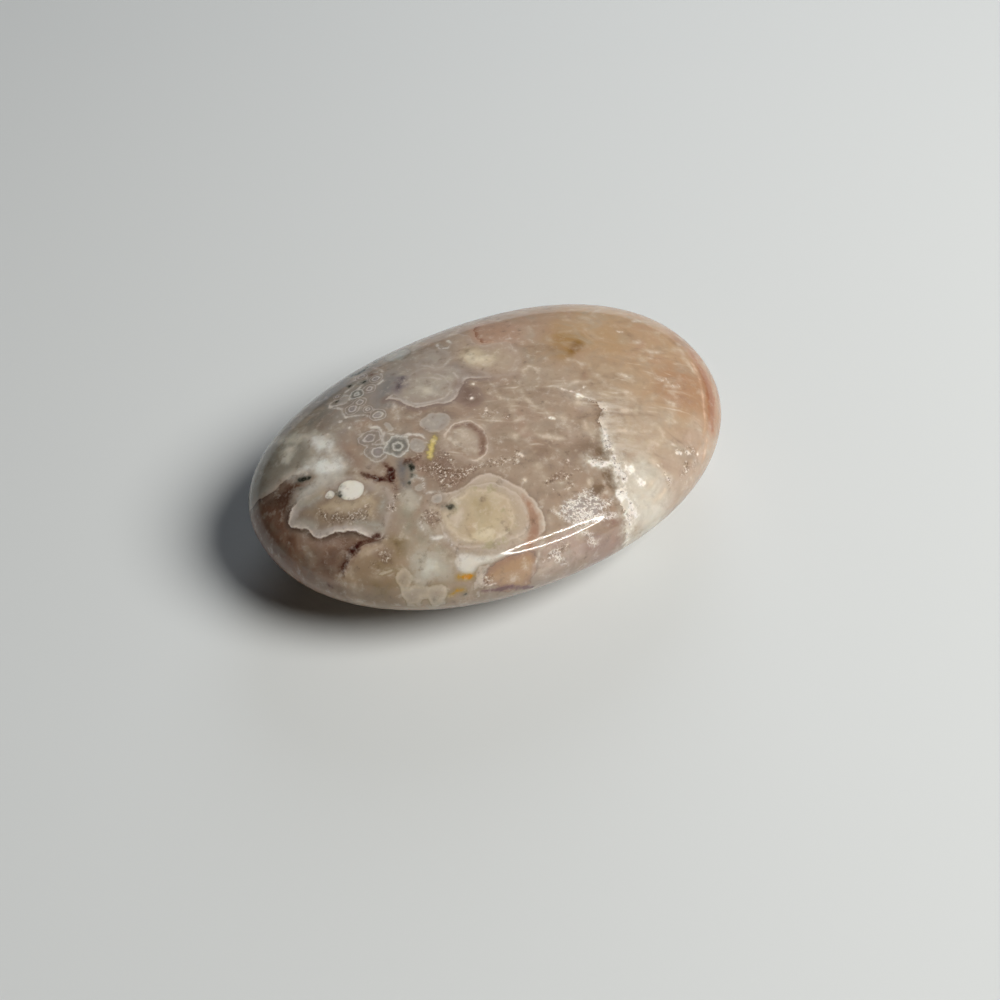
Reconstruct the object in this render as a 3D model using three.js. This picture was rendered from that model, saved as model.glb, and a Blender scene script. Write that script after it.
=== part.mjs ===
// Flower agate palm stone: one pebble of chalcedony, tumbled and polished all over. It is an
// egg-cornered oval in plan and a plump lens in section, with a small flat spot underneath
// that it rests on.
//
// Millimetres, +Z up. The origin lies on the resting face, under the middle of the stone.
// +X runs along the length, towards the broader, peach-coloured end.

import * as THREE from "three";

// Driving dimensions.
const LENGTH = 68.0;
const WIDTH = 44.2;
const FULL_THICKNESS = 20.4; // of the whole lens, before the flat spot takes a sliver off
const FLAT_SHARE = 0.32; // the flat spot's size, as a share of the plan

// How the rounded forms bulge. An exponent of 2 gives a plain ellipse; more is squarer.
const PLAN_EXPONENT = 2.15;
const SECTION_EXPONENT = 2.4;

// How the plan departs from a symmetric oval.
const EGG = 0.084; // how much wider the +X end is than the middle
const THREE_LOBE_COSINE = 0.0142; // a faint three-cornered swelling left by the grinding
const THREE_LOBE_SINE = 0.0155;

// How finely the surface is divided.
const AROUND = 96;
const RINGS_ABOVE = 17; // between the widest line and the crown
const RINGS_BELOW = 14; // between the widest line and the flat spot

// The plan's edge at an angle, for a stone one unit long and wide from the middle: a
// superellipse, swollen three times round, and widened towards +X.
function planEdge(angle) {
  const cosine = Math.cos(angle);
  const sine = Math.sin(angle);
  const oval =
    (Math.abs(cosine) ** PLAN_EXPONENT + Math.abs(sine) ** PLAN_EXPONENT) **
    (-1 / PLAN_EXPONENT);
  const swelling =
    1 +
    THREE_LOBE_COSINE * Math.cos(3 * angle) +
    THREE_LOBE_SINE * Math.sin(3 * angle);
  return new THREE.Vector2(
    oval * swelling * cosine,
    oval * swelling * sine * (1 + EGG * cosine),
  );
}

// A point of the half section at a slope angle, from -90 degrees at the bottom through 0 at the
// widest line to 90 at the crown. Its x is the share of the plan's edge and its y the height.
function sectionPoint(slope) {
  return new THREE.Vector2(
    Math.max(Math.cos(slope), 0) ** (2 / SECTION_EXPONENT),
    (FULL_THICKNESS / 2) * Math.sin(slope),
  );
}

// The half section from the middle of the flat spot, out round the widest line and up to the
// crown, as a profile for a lathe. It starts and ends on the axis.
function sectionProfile() {
  const flatSlope = -Math.acos(FLAT_SHARE ** (SECTION_EXPONENT / 2));
  const flatRim = sectionPoint(flatSlope);
  const profile = [new THREE.Vector2(0, flatRim.y), flatRim];
  for (let ring = 1; ring <= RINGS_BELOW; ring += 1) {
    profile.push(sectionPoint(flatSlope * (1 - ring / RINGS_BELOW)));
  }
  for (let ring = 1; ring < RINGS_ABOVE; ring += 1) {
    profile.push(sectionPoint((Math.PI / 2) * (ring / RINGS_ABOVE)));
  }
  profile.push(new THREE.Vector2(0, FULL_THICKNESS / 2));
  return profile;
}

// The stone's surface: the section spun into a round lens, then pushed out to the plan's edge.
function stoneGeometry() {
  const geometry = new THREE.LatheGeometry(sectionProfile(), AROUND);
  geometry.rotateX(Math.PI / 2);
  const position = geometry.getAttribute("position");
  for (let i = 0; i < position.count; i += 1) {
    const share = Math.hypot(position.getX(i), position.getY(i));
    const edge = planEdge(Math.atan2(position.getY(i), position.getX(i)));
    position.setX(i, share * edge.x * (LENGTH / 2));
    position.setY(i, share * edge.y * (WIDTH / 2));
  }
  geometry.computeBoundingBox();
  const middle = geometry.boundingBox.getCenter(new THREE.Vector3());
  geometry.translate(-middle.x, -middle.y, -geometry.boundingBox.min.z);
  geometry.computeVertexNormals();
  return geometry;
}

function polishedAgate() {
  return new THREE.MeshStandardMaterial({
    name: "polished_flower_agate",
    color: 0xa8927e,
    roughness: 0.12,
    metalness: 0,
  });
}

const stone = new THREE.Mesh(stoneGeometry(), polishedAgate());
stone.name = "palm_stone";

const part = new THREE.Group();
part.add(stone);

export default part;
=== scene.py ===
"""Flower agate palm stone on a pale floor: the stone's polished surface, its agate and the studio."""

import functools
import math
from collections import namedtuple

import bpy
import numpy as np
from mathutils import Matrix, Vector


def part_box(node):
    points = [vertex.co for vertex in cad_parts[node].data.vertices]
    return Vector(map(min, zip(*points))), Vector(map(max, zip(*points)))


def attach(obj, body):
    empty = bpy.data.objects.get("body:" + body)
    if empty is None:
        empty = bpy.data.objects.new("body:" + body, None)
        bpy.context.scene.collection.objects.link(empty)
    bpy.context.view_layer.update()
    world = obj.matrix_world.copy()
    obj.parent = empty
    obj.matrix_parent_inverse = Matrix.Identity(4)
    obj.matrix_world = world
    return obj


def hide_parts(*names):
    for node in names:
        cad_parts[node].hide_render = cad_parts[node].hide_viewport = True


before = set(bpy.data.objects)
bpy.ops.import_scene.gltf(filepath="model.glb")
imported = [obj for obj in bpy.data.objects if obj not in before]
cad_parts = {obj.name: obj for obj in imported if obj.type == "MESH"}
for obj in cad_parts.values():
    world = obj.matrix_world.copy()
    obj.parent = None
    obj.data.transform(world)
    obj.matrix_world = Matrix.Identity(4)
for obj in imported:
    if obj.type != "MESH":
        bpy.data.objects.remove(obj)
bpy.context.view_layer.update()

MM = 0.001

# The stone's form, in millimetres, as the solid has it.
LENGTH = 68.0
WIDTH = 44.2
FULL_THICKNESS = 20.4
FLAT_SHARE = 0.32
PLAN_EXPONENT = 2.15
SECTION_EXPONENT = 2.4
EGG = 0.084
THREE_LOBE_COSINE = 0.0142
THREE_LOBE_SINE = 0.0155

# Points round each ring of the skin, and rings from the flat spot to the crown.
AROUND = 400
RINGS = 220


def linear(hex_colour):
    """An sRGB hex colour as linear red, green, blue and alpha."""
    channels = [int(hex_colour[i:i + 2], 16) / 255 for i in (1, 3, 5)]
    return (*[c / 12.92 if c <= 0.04045 else ((c + 0.055) / 1.055) ** 2.4 for c in channels], 1.0)


def plan_edge(angle):
    """The plan's edge at an angle: a superellipse, swollen three times round and wider towards +X."""
    cosine, sine = np.cos(angle), np.sin(angle)
    oval = (np.abs(cosine) ** PLAN_EXPONENT + np.abs(sine) ** PLAN_EXPONENT) ** (-1 / PLAN_EXPONENT)
    swelling = 1 + THREE_LOBE_COSINE * np.cos(3 * angle) + THREE_LOBE_SINE * np.sin(3 * angle)
    along = oval * swelling * cosine * LENGTH / 2
    across = oval * swelling * sine * (1 + EGG * cosine) * WIDTH / 2
    return along, across


def stone_points(slope, angle):
    """Points of the stone: the plan's edge, drawn in by a power of the slope's cosine, at a height
    that goes with its sine."""
    share = np.maximum(np.cos(slope), 0.0) ** (2 / SECTION_EXPONENT)
    along, across = plan_edge(angle)
    height = FULL_THICKNESS / 2 * np.sin(slope)
    return np.stack(np.broadcast_arrays(share * along, share * across, height), axis=-1)


def make_skin():
    """The stone's skin: rings of points from the flat spot's rim to just under the crown, then one point in
    the middle of the flat spot and one on the crown, fitted to the solid's own box."""
    flat_slope = -math.acos(FLAT_SHARE ** (SECTION_EXPONENT / 2))
    slope = np.linspace(flat_slope, math.pi / 2, RINGS + 1)[:-1]
    angle = np.linspace(0, 2 * math.pi, AROUND, endpoint=False)
    rings = stone_points(slope[:, None], angle[None, :]).reshape(-1, 3)
    skin = np.vstack([rings, [0, 0, rings[0, 2]], [0, 0, FULL_THICKNESS / 2]])
    low_corner, high_corner = (np.array(corner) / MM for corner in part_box("palm_stone"))
    size = skin.max(axis=0) - skin.min(axis=0)
    return (skin - skin.min(axis=0)) / size * (high_corner - low_corner) + low_corner


def make_stone(skin):
    """The closed stone: quads between the rings, and a fan of triangles round each end point."""
    ring, step = np.meshgrid(np.arange(RINGS - 1), np.arange(AROUND), indexing="ij")
    after = (step + 1) % AROUND
    low, high = ring * AROUND, (ring + 1) * AROUND
    quads = np.stack([low + step, low + after, high + after, high + step], axis=-1).reshape(-1, 4)
    first, second = step[0], after[0]
    top = (RINGS - 1) * AROUND
    foot = np.full(AROUND, RINGS * AROUND)
    foot_fan = np.stack([second, first, foot], axis=-1)
    crown_fan = np.stack([top + first, top + second, foot + 1], axis=-1)
    mesh = bpy.data.meshes.new("agate_stone")
    mesh.from_pydata(skin * MM, [], quads.tolist() + foot_fan.tolist() + crown_fan.tolist())
    mesh.polygons.foreach_set("use_smooth", np.ones(len(mesh.polygons), dtype=bool))
    mesh.update()
    stone = bpy.data.objects.new("agate_stone", mesh)
    bpy.context.scene.collection.objects.link(stone)
    return stone


# --- the agate: what lies where in it, in millimetres in plan ---

BODY = "#ab9886"

# Zones of the body: middle, half-length, half-width, turn in degrees, colour and how fully it covers.
ZONES = [
    (25, 3, 22, 27, 0, "#b4987b", 1.0),
    (27, -9, 9, 6, -35, "#a78468", 0.85),
    (8, 12, 9, 7, 10, "#b59a86", 0.75),
    (16, 5, 9, 5, 0, "#b29470", 0.7),
    (20, 9, 6, 4, 20, "#bca286", 0.6),
    (13.0, 3.6, 4.4, 2.8, 30, "#9f7d4d", 0.75),
    (13.0, 2.6, 2.0, 1.5, 30, "#835f2c", 0.9),
    (17, -3, 6, 3, -25, "#bba68c", 0.6),
    (-13, 11, 13, 6, 8, "#a39c93", 0.85),
    (-24, 13, 13, 6, 35, "#837d73", 0.8),
    (-29, 11, 4, 4, 45, "#8d877c", 0.8),
    (-28, 14, 6, 3.0, 38, "#6f6b62", 0.75),
    (-13, 17.5, 5, 2.2, 12, "#74726b", 0.7),
    (-32, -1, 8.5, 10, 0, "#8a6854", 1.0),
    (-31.5, -7.0, 4, 3.5, -60, "#a18069", 0.8),
    (-24, -15, 11, 5, -32, "#baa287", 0.85),
    # A dark brown band of painted shadow beneath the shell plume's lower edge.
    (-27.5, -8.6, 4.0, 1.8, -35, "#6b5140", 0.95),
    (-18.5, 5.5, 3.5, 2.5, 0, "#a5968a", 0.6),
    (-20.9, 2.4, 2.0, 3.4, 0, "#937f73", 0.8),
    (-18.8, -1.6, 2.4, 1.6, 0, "#b3a193", 0.7),
    (-11.4, 2.6, 1.8, 2.4, -30, "#937f70", 0.8),
    (-3.6, 2.0, 4.0, 2.4, 35, "#8a746a", 0.85),
    (-12.5, -7.0, 5.0, 3.0, -20, "#97806f", 0.85),
    (2, -10.5, 8, 3.4, -20, "#a08a78", 0.65),
    (7.0, -13.0, 2.4, 2.2, -10, "#85705f", 0.7),
    (2, -7.5, 5, 2.0, -28, "#b0a08f", 0.5),
    (8, -1, 4, 3, -28, "#b5a694", 0.5),
    (13, -6, 4, 5, 20, "#a8957f", 0.7),
    (16, -13, 6, 6, 20, "#bcaa96", 0.6),
    (11.5, -19.0, 4.5, 4, 10, "#d8d3c7", 0.9),
    (20, -18, 9, 4, 25, "#b7a596", 0.6),
    (8.6, -4.8, 3.4, 2.6, 0, "#b9ab9d", 0.6),
    (5.6, -10.0, 3.0, 2.0, -20, "#b7a595", 0.6),
    (12.6, -12.0, 3.0, 3.4, 10, "#b09c85", 0.5),
    (-2.5, -21.4, 4.6, 1.8, -6, "#bda89e", 0.7),
    (-29.0, -8.0, 3.4, 2.6, -50, "#9c8071", 0.6),
    (3.5, -22.0, 4, 1.5, 0, "#a08880", 0.7),
    (32.5, -1.0, 2.6, 10, 0, "#98704f", 0.8),
]

# Growths are laid over the body one after another. A growth's outlines are smooth loops through their
# places; its chains are legs from place to place, each with its x, y and radius, and a chain of one place is
# a round. They melt together over a distance, and their edge is made rough. Colours go by the distance
# outside the edge, in millimetres, each with how fully it covers. A growth may have a crisp rim, in colours
# of its own, where its edge runs along a line, and chains on the underside.
# A dark band just outside a growth's bright rim is painted shade, for depth.
Growth = namedtuple("Growth", "stops rough melt outlines chains rim_line rim_stops under",
                    defaults=((), (), None, None, ()))
GROWTHS = {
    # Fold marks in the clear body, each with a painted lit side and a painted shaded side.
    "folds_painted_lit_and_shaded": Growth((), 1.0, 0.4, outlines=[
        [(-9.0, 1.0), (-2.0, 4.0), (6.0, 1.6), (12.0, -1.0), (18.0, 1.0), (26.0, 0.5), (28.0, -6.0),
         (24.0, -14.0), (14.0, -18.0), (2.0, -20.0), (-2.0, -14.0), (-6.0, -9.5), (-13.0, -9.0),
         (-12.0, -3.0)],
    ]),
    # Dark brown at the left end: the clear brown body, darkened with painted shade as if the shadow under
    # the stone showed through.
    "brown_with_painted_shade": Growth([
        (-1.6, "#573f33", 0.95), (-0.8, "#654c3e", 0.9), (0.0, "#775746", 0.6), (1.8, "#8b6b57", 0.0),
    ], 0.3, 0.3, outlines=[
        [(-32.2, 3.6), (-30.6, 3.8), (-29.0, 3.8), (-27.2, 3.2), (-26.8, 1.6), (-27.8, 0.4), (-29.4, -0.6),
         (-30.8, -1.2), (-31.2, 0.4), (-31.8, 2.0)],
    ]),
    "brown_flames": Growth([
        (-0.3, "#6b5042", 0.45), (0.1, "#775a4a", 0.3), (1.0, "#866957", 0.0),
    ], 0.8, 0.5, chains=[
        [(-31.2, -3.0, 0.1), (-31.4, -4.2, 0.3)],
        [(-31.0, -5.2, 0.2), (-30.8, -6.6, 0.4), (-31.0, -8.0, 0.1)],
        [(-29.6, -6.8, 0.3), (-29.2, -8.4, 0.5), (-29.0, -10.0, 0.2)],
        [(-27.8, -8.0, 0.4), (-28.0, -9.6, 0.3)],
        [(-25.8, -8.6, 0.4), (-25.2, -9.3, 0.4)], [(-32.6, 0.6, 0.3), (-32.8, -1.0, 0.2)],
        [(-28.6, -11.4, 0.2), (-28.4, -12.4, 0.3)],
    ]),
    "brown_flakes": Growth([
        (-0.3, "#c0a48f", 0.8), (0.05, "#ad8e7a", 0.5), (0.5, "#9a7a66", 0.0),
    ], 0.5, 0.3, chains=[
        [(-31.9, -2.7, 0.05), (-32.3, -3.3, 0.15)], [(-30.5, -4.3, 0.12), (-30.9, -5.3, 0.22)],
        [(-29.5, -5.0, 0.05), (-29.5, -5.9, 0.22)], [(-31.6, -6.0, 0.1)],
        [(-28.4, -7.5, 0.05), (-27.6, -7.9, 0.1)],
        [(-30.0, -8.9, 0.1)], [(-29.2, -10.2, 0.05), (-28.9, -10.8, 0.1)],
    ], under=[[(-20.0, 4.0, 0.6), (-18.0, 5.0, 0.4)], [(-12.0, -9.0, 0.5)]]),
    "foot": Growth([
        (-2.4, "#a28c73", 0.9), (-1.2, "#a69078", 0.85), (-0.4, "#b19c85", 0.8), (0.2, "#ab957f", 0.5),
        (1.6, "#a78d77", 0.0),
    ], 0.6, 0.3, outlines=[
        [(-27.6, -12.2), (-27.5, -10.8), (-26.9, -10.4), (-26.2, -10.2), (-25.3, -10.1), (-24.3, -10.2),
         (-23.2, -10.5), (-22.0, -10.9), (-20.7, -12.0), (-20.2, -13.6), (-21.0, -14.8), (-21.6, -16.8),
         (-23.6, -16.6), (-26.0, -15.0)],
    ], rim_line=[(-27.3, -10.8), (-26.2, -10.2), (-24.8, -10.1), (-23.2, -10.4), (-22.3, -10.7)],
        # Pale rim line below; above it, dark brown painted shadow beneath the shell plume.
        rim_stops=[
        (-0.8, "#c3ad96", 0.0), (-0.3, "#c6b09a", 0.8), (-0.02, "#cbb6a2", 0.9), (0.08, "#4a3429", 0.9),
        (0.4, "#5a4234", 0.6), (1.2, "#6b5142", 0.0),
    ]),
    "foot_lights": Growth([
        (-0.3, "#d3c0aa", 0.7), (0.1, "#c6b29b", 0.4), (0.8, "#b7a189", 0.0),
    ], 0.9, 0.3, chains=[
        [(-26.9, -11.2, 0.1), (-26.8, -12.4, 0.3), (-27.2, -13.0, 0.1)],
        [(-24.6, -11.0, 0.4), (-22.6, -11.6, 0.3)],
        [(-25.0, -13.4, 0.3), (-24.2, -13.8, 0.2)], [(-29.8, -11.6, 0.3), (-28.6, -12.8, 0.4)],
    ]),
    "foot_rounds": Growth([
        (-0.9, "#b8a898", 0.8), (-0.45, "#c1b3a0", 0.85), (-0.12, "#cec0aa", 0.9), (0.04, "#c6b8a2", 0.8),
        (0.14, "#9a8a6c", 0.6), (0.4, "#ab9a80", 0.2), (0.8, "#b09b7f", 0.0),
    ], 0.22, 0.25, outlines=[
        [(-22.5, -15.2), (-22.0, -14.7), (-21.3, -14.8), (-20.8, -15.4), (-20.8, -16.0), (-21.4, -16.3),
         (-22.1, -16.2)],
        [(-22.3, -15.8), (-21.8, -16.3), (-21.0, -16.5), (-20.2, -16.9), (-19.4, -17.6), (-19.4, -17.9),
         (-20.4, -17.5), (-21.5, -17.0), (-22.3, -16.5)],
        [(-19.7, -17.5), (-18.8, -17.6), (-18.0, -17.9), (-17.4, -18.4), (-17.7, -18.7), (-18.7, -18.4),
         (-19.6, -18.0)],
    ], chains=[[(-24.0, -13.7, 0.04), (-22.8, -14.1, 0.08), (-21.6, -14.6, 0.04)]]),
    "grey_plume": Growth([
        (-3.2, "#a29c8e", 0.9), (-1.8, "#9c9689", 0.9), (-0.9, "#aaa497", 0.9), (-0.3, "#b7ae9f", 0.8),
        (0.5, "#a89c8f", 0.3), (1.6, "#a2978a", 0.0),
    ], 0.4, 0.4, outlines=[
        [(-35.4, 8.0), (-34.0, 5.8), (-32.0, 4.6), (-30.6, 3.9), (-29.1, 3.8), (-28.0, 3.9), (-26.6, 3.2),
         (-25.2, 3.2), (-23.9, 4.6), (-23.2, 6.4), (-23.0, 8.2), (-24.2, 10.6), (-26.0, 12.4), (-29.0, 13.6),
         (-33.0, 12.5)],
    ], rim_line=[(-35.0, 7.2), (-33.2, 5.2), (-31.4, 4.2), (-29.8, 3.8), (-28.0, 3.9),
    (-26.6, 3.2)], rim_stops=[
        # Pale rim line, then dark brown painted shadow below the plume's lower edge.
        (-1.2, "#b5ab9f", 0.0), (-0.6, "#b9ada1", 0.7), (-0.2, "#c3b6a9", 0.9), (0.0, "#b9a898", 0.85),
        (0.12, "#5b453a", 0.8), (0.9, "#5e473b", 0.0),
    ], under=[[(-14.0, 4.0, 2.0), (-9.0, 6.0, 2.6), (-5.0, 4.5, 1.8)],
    [(8.0, -6.0, 1.8), (12.0, -4.0, 1.4)]]),
    "plume_shade": Growth([
        (-0.8, "#8f8a7d", 0.7), (0.0, "#979184", 0.5), (1.2, "#a39c8f", 0.0),
    ], 0.8, 0.4, chains=[
        [(-31.0, 8.4, 0.4), (-29.0, 8.4, 0.9), (-27.6, 7.2, 0.9), (-27.4, 5.8, 0.5)],
        [(-25.6, 5.2, 0.3), (-24.8, 6.4, 0.5)],
    ]),
    "cream_tuft": Growth([
        (-0.6, "#d9d4c6", 0.9), (-0.1, "#cec8b9", 0.8), (0.7, "#b7b0a1", 0.0),
    ], 0.7, 0.4, outlines=[
        [(-26.4, 11.6), (-25.2, 11.0), (-24.0, 9.8), (-23.9, 8.6), (-24.8, 8.6), (-26.0, 9.5)],
        [(-26.4, 9.2), (-25.5, 8.5), (-25.7, 7.2), (-26.8, 6.1), (-27.4, 6.2), (-27.4, 7.4)],
    ], chains=[[(-27.0, 13.2, 0.2), (-26.6, 12.2, 0.2)], [(-23.4, 8.2, 0.2), (-22.4, 7.9, 0.3)]]),
    "snow": Growth([
        (-1.2, "#f1efe9", 0.97), (-0.6, "#e9e7e0", 0.95), (-0.1, "#d9d5cb", 0.8), (0.5, "#c6c0b4", 0.4),
        (1.4, "#bdb5a8", 0.0),
    ], 0.7, 0.5, outlines=[
        [(-23.2, 6.9), (-22.4, 6.9), (-21.7, 6.4), (-21.3, 5.5), (-21.4, 4.7), (-22.1, 4.3), (-22.8, 4.4),
         (-23.3, 5.2), (-23.5, 6.0)],
        [(-25.4, 3.2), (-24.5, 3.7), (-23.7, 3.8), (-22.9, 3.4), (-22.3, 2.6), (-21.7, 1.7), (-21.4, 0.9),
         (-21.4, 0.1), (-21.9, -0.5), (-22.8, -0.7), (-24.0, -0.4), (-25.2, 0.0), (-26.4, 0.1), (-27.4, 0.2),
         (-27.2, 0.6), (-26.0, 0.9), (-25.1, 1.2), (-25.3, 2.0)],
    ], chains=[[(-27.8, 3.9, 0.02), (-26.6, 3.5, 0.15), (-25.4, 3.3, 0.35), (-24.4, 3.5, 0.4)],
               [(-22.9, 7.4, 0.5), (-22.2, 6.2, 0.6), (-21.9, 4.4, 0.5), (-22.2, 3.0, 0.6)],
               [(-28.4, 0.1, 0.1), (-26.4, 0.2, 0.4), (-24.4, 0.1, 0.5), (-22.4, -0.2, 0.4)]],
        under=[[(4.0, 8.0, 0.9), (6.0, 9.5, 1.3), (8.5, 9.0, 0.7)]]),
    "shell_plume": Growth([
        (-3.4, "#b8a58c", 0.95), (-2.6, "#c0ad93", 0.95), (-2.0, "#a89580", 0.95), (-1.4, "#9f8f80", 0.95),
        (-0.8, "#b5a79c", 0.9), (-0.2, "#bfb2a7", 0.8), (0.3, "#b4a596", 0.4), (1.2, "#a99887", 0.0),
    ], 0.4, 0.3, outlines=[
        [(-26.2, -0.6), (-27.6, -0.3), (-28.7, -0.2), (-29.6, -0.5), (-30.4, -1.4), (-30.6, -2.2),
         (-30.0, -3.2),
         (-29.2, -4.1), (-28.9, -5.4), (-28.1, -6.3), (-26.6, -6.9), (-25.4, -7.7), (-24.3, -8.4),
         (-23.5, -9.6),
         (-22.7, -10.5), (-21.6, -10.6), (-20.2, -9.5), (-18.6, -7.8), (-18.2, -6.4), (-18.9, -5.0),
         (-19.8, -3.6), (-21.0, -1.6), (-22.4, -0.8), (-24.6, -0.8)],
    ], rim_line=[
        (-26.4, 0.4), (-28.7, -0.2), (-30.4, -1.4), (-30.6, -2.2), (-29.2, -4.1), (-28.9, -5.4),
        (-28.1, -6.3),
        (-26.6, -6.9), (-24.3, -8.4), (-23.5, -9.6), (-22.9, -10.4),
    ], rim_stops=[
        # White rim line, then dark brown painted shade just outside it, for depth.
        (-1.3, "#bcb0a6", 0.0), (-0.8, "#c2b6ac", 0.85), (-0.4, "#ccc1b8", 0.95), (-0.16, "#e2d7cd", 0.97),
        (-0.02, "#efe6dc", 0.97), (0.07, "#a38f80", 0.95), (0.2, "#48332a", 0.85), (0.9, "#5e473b", 0.0),
    ], under=[[(-3.0, -8.0, 1.6), (0.0, -10.0, 2.4), (4.0, -11.0, 1.8)]]),
    "snow_bridge": Growth([
        (-0.6, "#cbc5ba", 0.85), (0.0, "#c0b8ac", 0.65), (0.8, "#b5a99b", 0.0),
    ], 0.7, 0.3, outlines=[
        [(-28.6, 0.2), (-27.9, 1.2), (-26.9, 1.1), (-25.4, 0.9), (-23.8, 0.5), (-22.4, 0.0), (-23.0, -0.9),
         (-24.6, -1.0), (-26.2, -1.2), (-27.8, -1.2), (-28.8, -0.8)],
    ]),
    "under_shell": Growth([
        (-0.3, "#a78f7f", 0.75), (0.1, "#a08776", 0.45), (0.8, "#8c7261", 0.0),
    ], 0.9, 0.3, chains=[
        [(-30.2, -4.6, 0.1), (-29.5, -6.0, 0.35), (-28.3, -7.2, 0.4), (-26.8, -8.1, 0.35),
         (-25.4, -9.0, 0.1)],
    ]),
    "shell_bands": Growth([
        (-0.4, "#877461", 0.85), (0.1, "#968370", 0.5), (0.9, "#ac9985", 0.0),
    ], 0.9, 0.3, chains=[
        [(-27.6, -2.6, 0.1), (-26.8, -4.2, 0.3), (-25.2, -5.8, 0.45), (-23.4, -6.7, 0.5),
         (-22.0, -6.6, 0.3)],
        [(-21.6, -0.9, 0.2), (-20.4, -2.2, 0.3)],
    ]),
    "shell_light": Growth([
        (-0.4, "#c7b69d", 0.8), (0.1, "#bfae98", 0.4), (0.9, "#b5a48f", 0.0),
    ], 0.6, 0.3, chains=[
        [(-25.6, -3.6, 0.2), (-24.0, -5.0, 0.5), (-21.8, -5.8, 0.4), (-20.0, -5.4, 0.3), (-19.4, -4.6, 0.2)],
        [(-25.6, -1.4, 0.5), (-27.0, -1.2, 0.3)], [(-20.4, -3.6, 0.2), (-21.0, -2.4, 0.3)],
    ]),
    "shell_greys": Growth([
        (-0.3, "#b5aea2", 0.85), (0.1, "#aba395", 0.5), (0.9, "#a79a89", 0.0),
    ], 0.9, 0.3, chains=[
        [(-23.8, -7.4, 0.4), (-22.6, -8.4, 0.5), (-21.8, -9.6, 0.5)],
        [(-20.8, -8.0, 0.2), (-19.8, -7.0, 0.2)],
        [(-28.6, -1.0, 0.3), (-27.6, -1.6, 0.4), (-26.4, -1.4, 0.3)],
        [(-29.0, -3.0, 0.4), (-28.4, -4.2, 0.3)],
    ]),
    "cloud": Growth([
        (-1.4, "#bdb6a6", 0.9), (-0.7, "#bfb6a8", 0.8), (-0.2, "#b9af9f", 0.65), (0.4, "#b3a795", 0.3),
        (1.2, "#b0a28f", 0.0),
    ], 0.8, 0.45, outlines=[
        [(-18.3, -9.5), (-18.2, -8.3), (-17.6, -7.0), (-16.4, -6.8), (-15.5, -7.6), (-15.4, -9.0),
         (-16.1, -10.0),
         (-17.5, -10.4)],
        [(-17.2, -10.8), (-17.7, -12.4), (-17.3, -14.0), (-15.9, -14.6), (-15.2, -13.2), (-15.6, -11.2)],
        [(-20.3, -14.2), (-19.2, -13.7), (-18.2, -13.7), (-17.2, -14.4), (-16.6, -15.6), (-15.9, -16.8),
         (-15.8, -18.0), (-16.9, -18.3), (-18.1, -17.8), (-19.5, -17.2), (-20.7, -16.4), (-20.9, -15.2)],
    ], chains=[[(-19.6, -11.6, 0.3), (-19.0, -12.8, 0.4)], [(-14.9, -6.6, 0.3), (-15.2, -5.4, 0.2)]],
        under=[[(-16.0, -2.0, 1.6), (-13.0, -1.0, 1.2)], [(18.0, 3.0, 1.6), (16.0, 6.0, 1.2)]]),
    "cloud_white": Growth([
        (-0.8, "#d9d6ca", 0.85), (0.1, "#cdc7ba", 0.5), (1.2, "#c0b8a9", 0.0),
    ], 0.8, 0.5, outlines=[
        [(-19.4, -15.2), (-18.4, -15.0), (-17.7, -15.8), (-17.5, -16.8), (-18.6, -17.0), (-19.6, -16.4)],
    ], chains=[[(-16.6, -12.2, 0.3), (-16.5, -13.6, 0.3)], [(-16.9, -8.0, 0.3), (-17.3, -9.2, 0.2)]]),
    "cloud_grey": Growth([
        (-0.5, "#a09987", 0.8), (0.1, "#a89f8e", 0.5), (1.0, "#b4aa98", 0.0),
    ], 0.7, 0.4, chains=[
        [(-18.4, -9.4, 0.3), (-18.0, -10.4, 0.5), (-18.6, -11.4, 0.4)],
        [(-18.2, -12.8, 0.3), (-17.9, -13.6, 0.2)],
        [(-16.4, -15.2, 0.15), (-15.9, -16.0, 0.2)], [(-19.9, -13.2, 0.2)],
    ]),
    "far_shade": Growth([
        (-0.8, "#898683", 0.85), (0.0, "#8f8a87", 0.6), (1.2, "#98928c", 0.0),
    ], 0.5, 0.6, chains=[
        [(-13.4, 7.6, 0.6), (-12.5, 8.3, 0.9), (-11.4, 9.4, 1.0), (-10.0, 10.8, 0.8)],
        [(-18.4, 14.8, 1.4), (-15.4, 15.6, 1.2)], [(-3.0, 7.2, 0.4), (-1.6, 8.0, 0.5), (-0.6, 6.6, 0.3)],
        [(-13.6, 7.0, 0.3), (-12.6, 6.6, 0.4)],
    ]),
    "eye_ground": Growth([
        (-0.8, "#8f8880", 0.7), (0.0, "#958d85", 0.5), (1.4, "#9c938a", 0.0),
    ], 0.8, 0.6, chains=[
        [(-18.0, 11.6, 0.5), (-16.0, 10.6, 1.2), (-14.0, 11.6, 1.2), (-12.0, 13.0, 1.0), (-11.4, 14.8, 0.6)],
        [(-16.8, 8.6, 0.9), (-15.2, 7.0, 0.7), (-14.4, 5.4, 0.6)],
        [(-17.6, 2.4, 0.8), (-16.6, 0.4, 1.2), (-14.6, -0.6, 1.2), (-13.4, 0.6, 0.5)],
    ]),
    "grey_blossom": Growth([
        (-2.8, "#b3aa9e", 0.85), (-1.6, "#b0a69a", 0.85), (-0.9, "#a89c91", 0.8), (-0.2, "#b5aa9f", 0.7),
        (0.3, "#a5998e", 0.4), (1.0, "#9c8f85", 0.0),
    ], 0.35, 0.3, outlines=[
        [(-12.6, 7.3), (-11.8, 7.2), (-11.1, 6.0), (-10.7, 4.8), (-10.0, 3.8), (-8.8, 3.2), (-7.4, 2.8),
         (-6.2, 2.3), (-5.2, 2.2), (-4.2, 2.8), (-3.2, 3.7), (-2.3, 4.6), (-1.4, 4.8), (-0.2, 4.1),
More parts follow.
